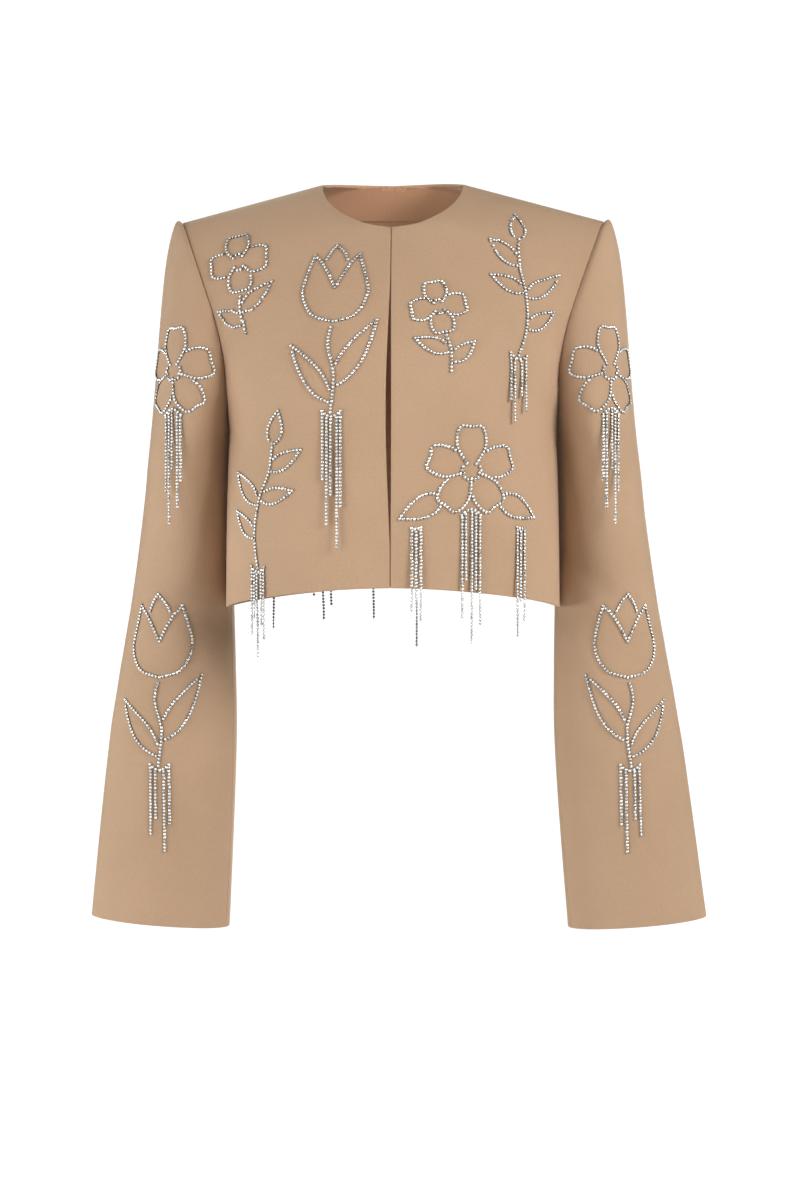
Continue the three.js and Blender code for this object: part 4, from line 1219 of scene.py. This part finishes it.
def hanging(panel, u, v, lengths, turning):
    """Points, tangents and outs of the crystals on a group of strands, one row for each strand."""
    counts = np.maximum(3, np.round(np.array(lengths) / STRAND_PITCH).astype(int))
    down = np.array([[0.0, 0, -1]])
    out = panel.normal(u, v)
    point = panel.point(u, v) + out * STRAND_LIFT
    on_cloth, free_steps = np.full(len(u), True), np.zeros(len(u))
    points, outs = [point], [out]
    for _ in range(counts.max()):
        slope = unit(down - out * dot(down, out)[:, None])
        next_u, next_v = panel.stepped(u, v, slope * STRAND_PITCH)
        on_cloth = on_cloth & (CLOTH_ENDS[0] < next_v) & (next_v < CLOTH_ENDS[1])
        u, v = np.where(on_cloth, next_u, u), np.where(on_cloth, next_v, v)
        out = np.where(on_cloth[:, None], panel.normal(u, v), out)
        free = point + down * STRAND_PITCH
        laid = panel.point(u, v) + out * STRAND_LIFT
        is_free = ~on_cloth | (dot(free - laid, out) > 0)
        point = np.where(is_free[:, None], free, laid)
        free_steps += ~on_cloth
        turn = (turning * eased(free_steps / TURNS_OVER))[:, None]
        points.append(point)
        outs.append(out * np.cos(turn) + np.cross(out, down) * np.sin(turn))
    rows = []
    for k, count in enumerate(counts):
        line = np.array(points)[: count + 1, k]
        rows.append((line, np.gradient(line, axis=0), np.array(outs)[: count + 1, k]))
    return [np.concatenate(part) for part in zip(*rows)]


strand_count = 0
for motif in MOTIFS:
    panel = PANELS[motif["on"]]
    for k, (bar, lengths) in enumerate(motif["strands"], start=1):
        name = f"{motif['name']}_strands_{k}"
        points, tangents, outs = lines_of_crystals(motif, [bar], BAR_SIZE)
        points, (tangents, outs) = worn(panel, points, (tangents, outs))
        crystals[f"{name}_bar"] = set_crystals(f"{name}_bar", points, tangents, outs, BAR_SIZE)
        curve, shares = curve_through(bar), np.linspace(BAR_RIM, 1 - BAR_RIM, len(lengths))
        shares = shares + UNEVEN * np.sin(4 * np.arange(len(lengths)))
        starts = at_lengths(curve, shares * length_of(curve))
        u, v = on_panel(motif, starts - [0, BELOW_BAR])
        turning = chance.normal(0, TURNING, len(lengths))
        points, tangents, outs = hanging(panel, u, v, np.array(lengths) - BELOW_BAR, turning)
        points, (tangents, outs) = worn(panel, points, (tangents, outs))
        crystals[name] = set_crystals(f"{name}_crystals", points, tangents, outs, STRAND_SIZE)
        strand_count += len(lengths)
print("strands", strand_count)

# %% [markdown]
# ## What each piece stands for
#
# Every fine piece takes the place of the solid that it was laid on, which is hidden. A table also
# gives the flat size of each piece of cloth: how wide and how long the part that shows is, rounded,
# and the area that the cell above printed. The back and the fronts are a little longer at the middle than it
# says.

# %% Stand in for the solids
def both(name, *cut):
    """The same cut for both sides."""
    return {f"{name}_{side}": cut for side in SIDES}


CUTS = {
    **both("front", (0.22, 0.42), 0.078),
    "back": ((0.44, 0.42), 0.164),
    "back_neck_facing": ((0.2, 0.055), 0.0066),
    **both("top_sleeve", (0.31, 0.68), 0.163),
    **both("under_sleeve", (0.1, 0.54), 0.037),
}
SEWN_TO = {"back": ("front_left", "front_right"), "back_neck_facing": ("back",), **both("front", "back")}
for side in SIDES:
    SEWN_TO[f"top_sleeve_{side}"] = SEWN_TO[f"under_sleeve_{side}"] = (f"front_{side}", "back")
CARRIER = {
    "front_left": "front_left", "front_right": "front_right", "back_left": "back", "back_right": "back",
    "sleeve_left": "top_sleeve_left", "sleeve_right": "top_sleeve_right",
}
laid_on = {name: [] for name in CUTS}
for motif in MOTIFS:
    groups = [f"{motif['name']}_strands_{k}" for k in range(1, len(motif["strands"]) + 1)]
    for name in [motif["name"], *groups]:
        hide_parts(name)
        laid_on[CARRIER[motif["on"]]] += [crystals[key] for key in (name, f"{name}_bar") if key in crystals]
for name, (flat, area) in CUTS.items():
    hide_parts(name)

# %% [markdown]
# ## The studio
#
# The picture has a plain white ground and soft light from the front, so that the cloth is evenly
# lit and darkens where the sleeves turn in towards the body. A pale floor lies where a wearer
# would stand. The white ground is a large dome that only the camera sees, so that it doesn't
# flatten the light on the cloth. Two soft boxes at the front do most of the work, with a dim one
# beside them. Cool rim lights mark the sleeves, one box lights the back, a narrow spot warms the
# middle of the fronts, and a very small lamp lights the facing inside the neck.

# %% Floor, ground and lights
FLOOR_Z = -1.38
floor_material, _ = new_material("pale_floor", 0.7, Base_Color=(0.86, 0.86, 0.86, 1))
bpy.ops.mesh.primitive_circle_add(vertices=96, radius=1.6, fill_type="NGON", location=(0, 0, FLOOR_Z))
floor = bpy.context.object
floor.name = "floor"
floor.data.materials.append(floor_material)
bpy.ops.mesh.primitive_uv_sphere_add(segments=48, ring_count=24, radius=14)
ground = bpy.context.object
ground.name = "white_ground"
ground_material = bpy.data.materials.new("white_ground")
ground_material.use_nodes = True
ground_material.node_tree.nodes.clear()
white = add_node(ground_material, "ShaderNodeEmission", {"Color": (1, 1, 1, 1), "Strength": 1.1})
add_node(ground_material, "ShaderNodeOutputMaterial", {"Surface": white.outputs[0]})
ground.data.materials.append(ground_material)
for seen_by in ("diffuse", "glossy", "transmission", "shadow", "volume_scatter"):
    setattr(ground, f"visible_{seen_by}", False)

world = bpy.data.worlds.new("studio")
world.use_nodes = True
world.node_tree.nodes["Background"].inputs["Color"].default_value = (1, 1, 1, 1)
world.node_tree.nodes["Background"].inputs["Strength"].default_value = 0.06
bpy.context.scene.world = world
MIDDLE = Vector((0.0, 0.0, -0.36))
NECK = Vector((0.0, 0.05, 0.0))
# place, size, how far its light spreads in degrees, watts, colour, what it faces
LIGHTS = {
    "left_softbox": ((-2.3, -1.7, -0.45), 1.5, 180, 40, (1, 1, 1), MIDDLE),
    "right_high_softbox": ((2.32, -1.75, 0.9), 1.3, 180, 84, (1, 1, 1), MIDDLE),
    "left_high_softbox": ((-2.32, -1.75, 0.9), 1.3, 180, 13, (1, 1, 1), MIDDLE),
    "left_rim": ((-2.8, -0.2, -0.3), 1.5, 180, 32, (0.88, 0.96, 1), MIDDLE),
    "right_rim": ((2.8, -0.2, -0.3), 1.5, 180, 14, (0.88, 0.96, 1), MIDDLE),
    "back_softbox": ((0.3, 2.8, 0.3), 1.6, 180, 100, (1, 1, 1), MIDDLE),
    "neck_lamp": ((0.018, -0.05, -0.02), 0.06, 110, 0.017, (1, 0.97, 0.93), NECK),
}
for name, (place, size, spread, power, colour, faces_to) in LIGHTS.items():
    light = bpy.data.lights.new(name, "AREA")
    light.shape, light.size, light.energy, light.color = "SQUARE", size, power, colour
    light.spread = math.radians(spread)
    lamp = placed(name, light)
    lamp.location = place
    lamp.rotation_euler = (faces_to - Vector(place)).to_track_quat("-Z", "Y").to_euler()
    lamp.visible_camera = False
spot = bpy.data.lights.new("front_spot", "SPOT")
spot.energy, spot.color = 40, (1, 0.95, 0.9)
spot.spot_size, spot.spot_blend, spot.shadow_soft_size = math.radians(14), 1.0, 0.15
lamp = placed("front_spot", spot)
lamp.location = (0.1, -2.8, -0.3)
lamp.rotation_euler = (Vector((0.02, 0, -0.28)) - lamp.location).to_track_quat("-Z", "Y").to_euler()
bpy.context.scene.view_settings.view_transform = "Standard"
print("lights", list(LIGHTS), spot.name)

# %% [markdown]
# ## The camera
#
# The photograph was taken level, at the height of the waist and a little from the wearer's
# left, with a long lens. The lens is worked out from how much the picture's height spans.

# %% Camera
DISTANCE, SPAN = 2.5, 1.14  # metres to the jacket, and metres from the picture's top to its foot
AZIMUTH = math.radians(1.3)
aim = Vector((0.0066, 0.0, -0.38))
lens = bpy.data.cameras.new("camera")
lens.lens = lens.sensor_width * DISTANCE / SPAN
camera = placed("camera", lens)
camera.location = aim + Vector((math.sin(AZIMUTH), -math.cos(AZIMUTH), 0)) * DISTANCE
camera.rotation_euler = (aim - camera.location).to_track_quat("-Z", "Y").to_euler()
bpy.context.scene.camera = camera
print("lens", round(lens.lens, 1), "mm")
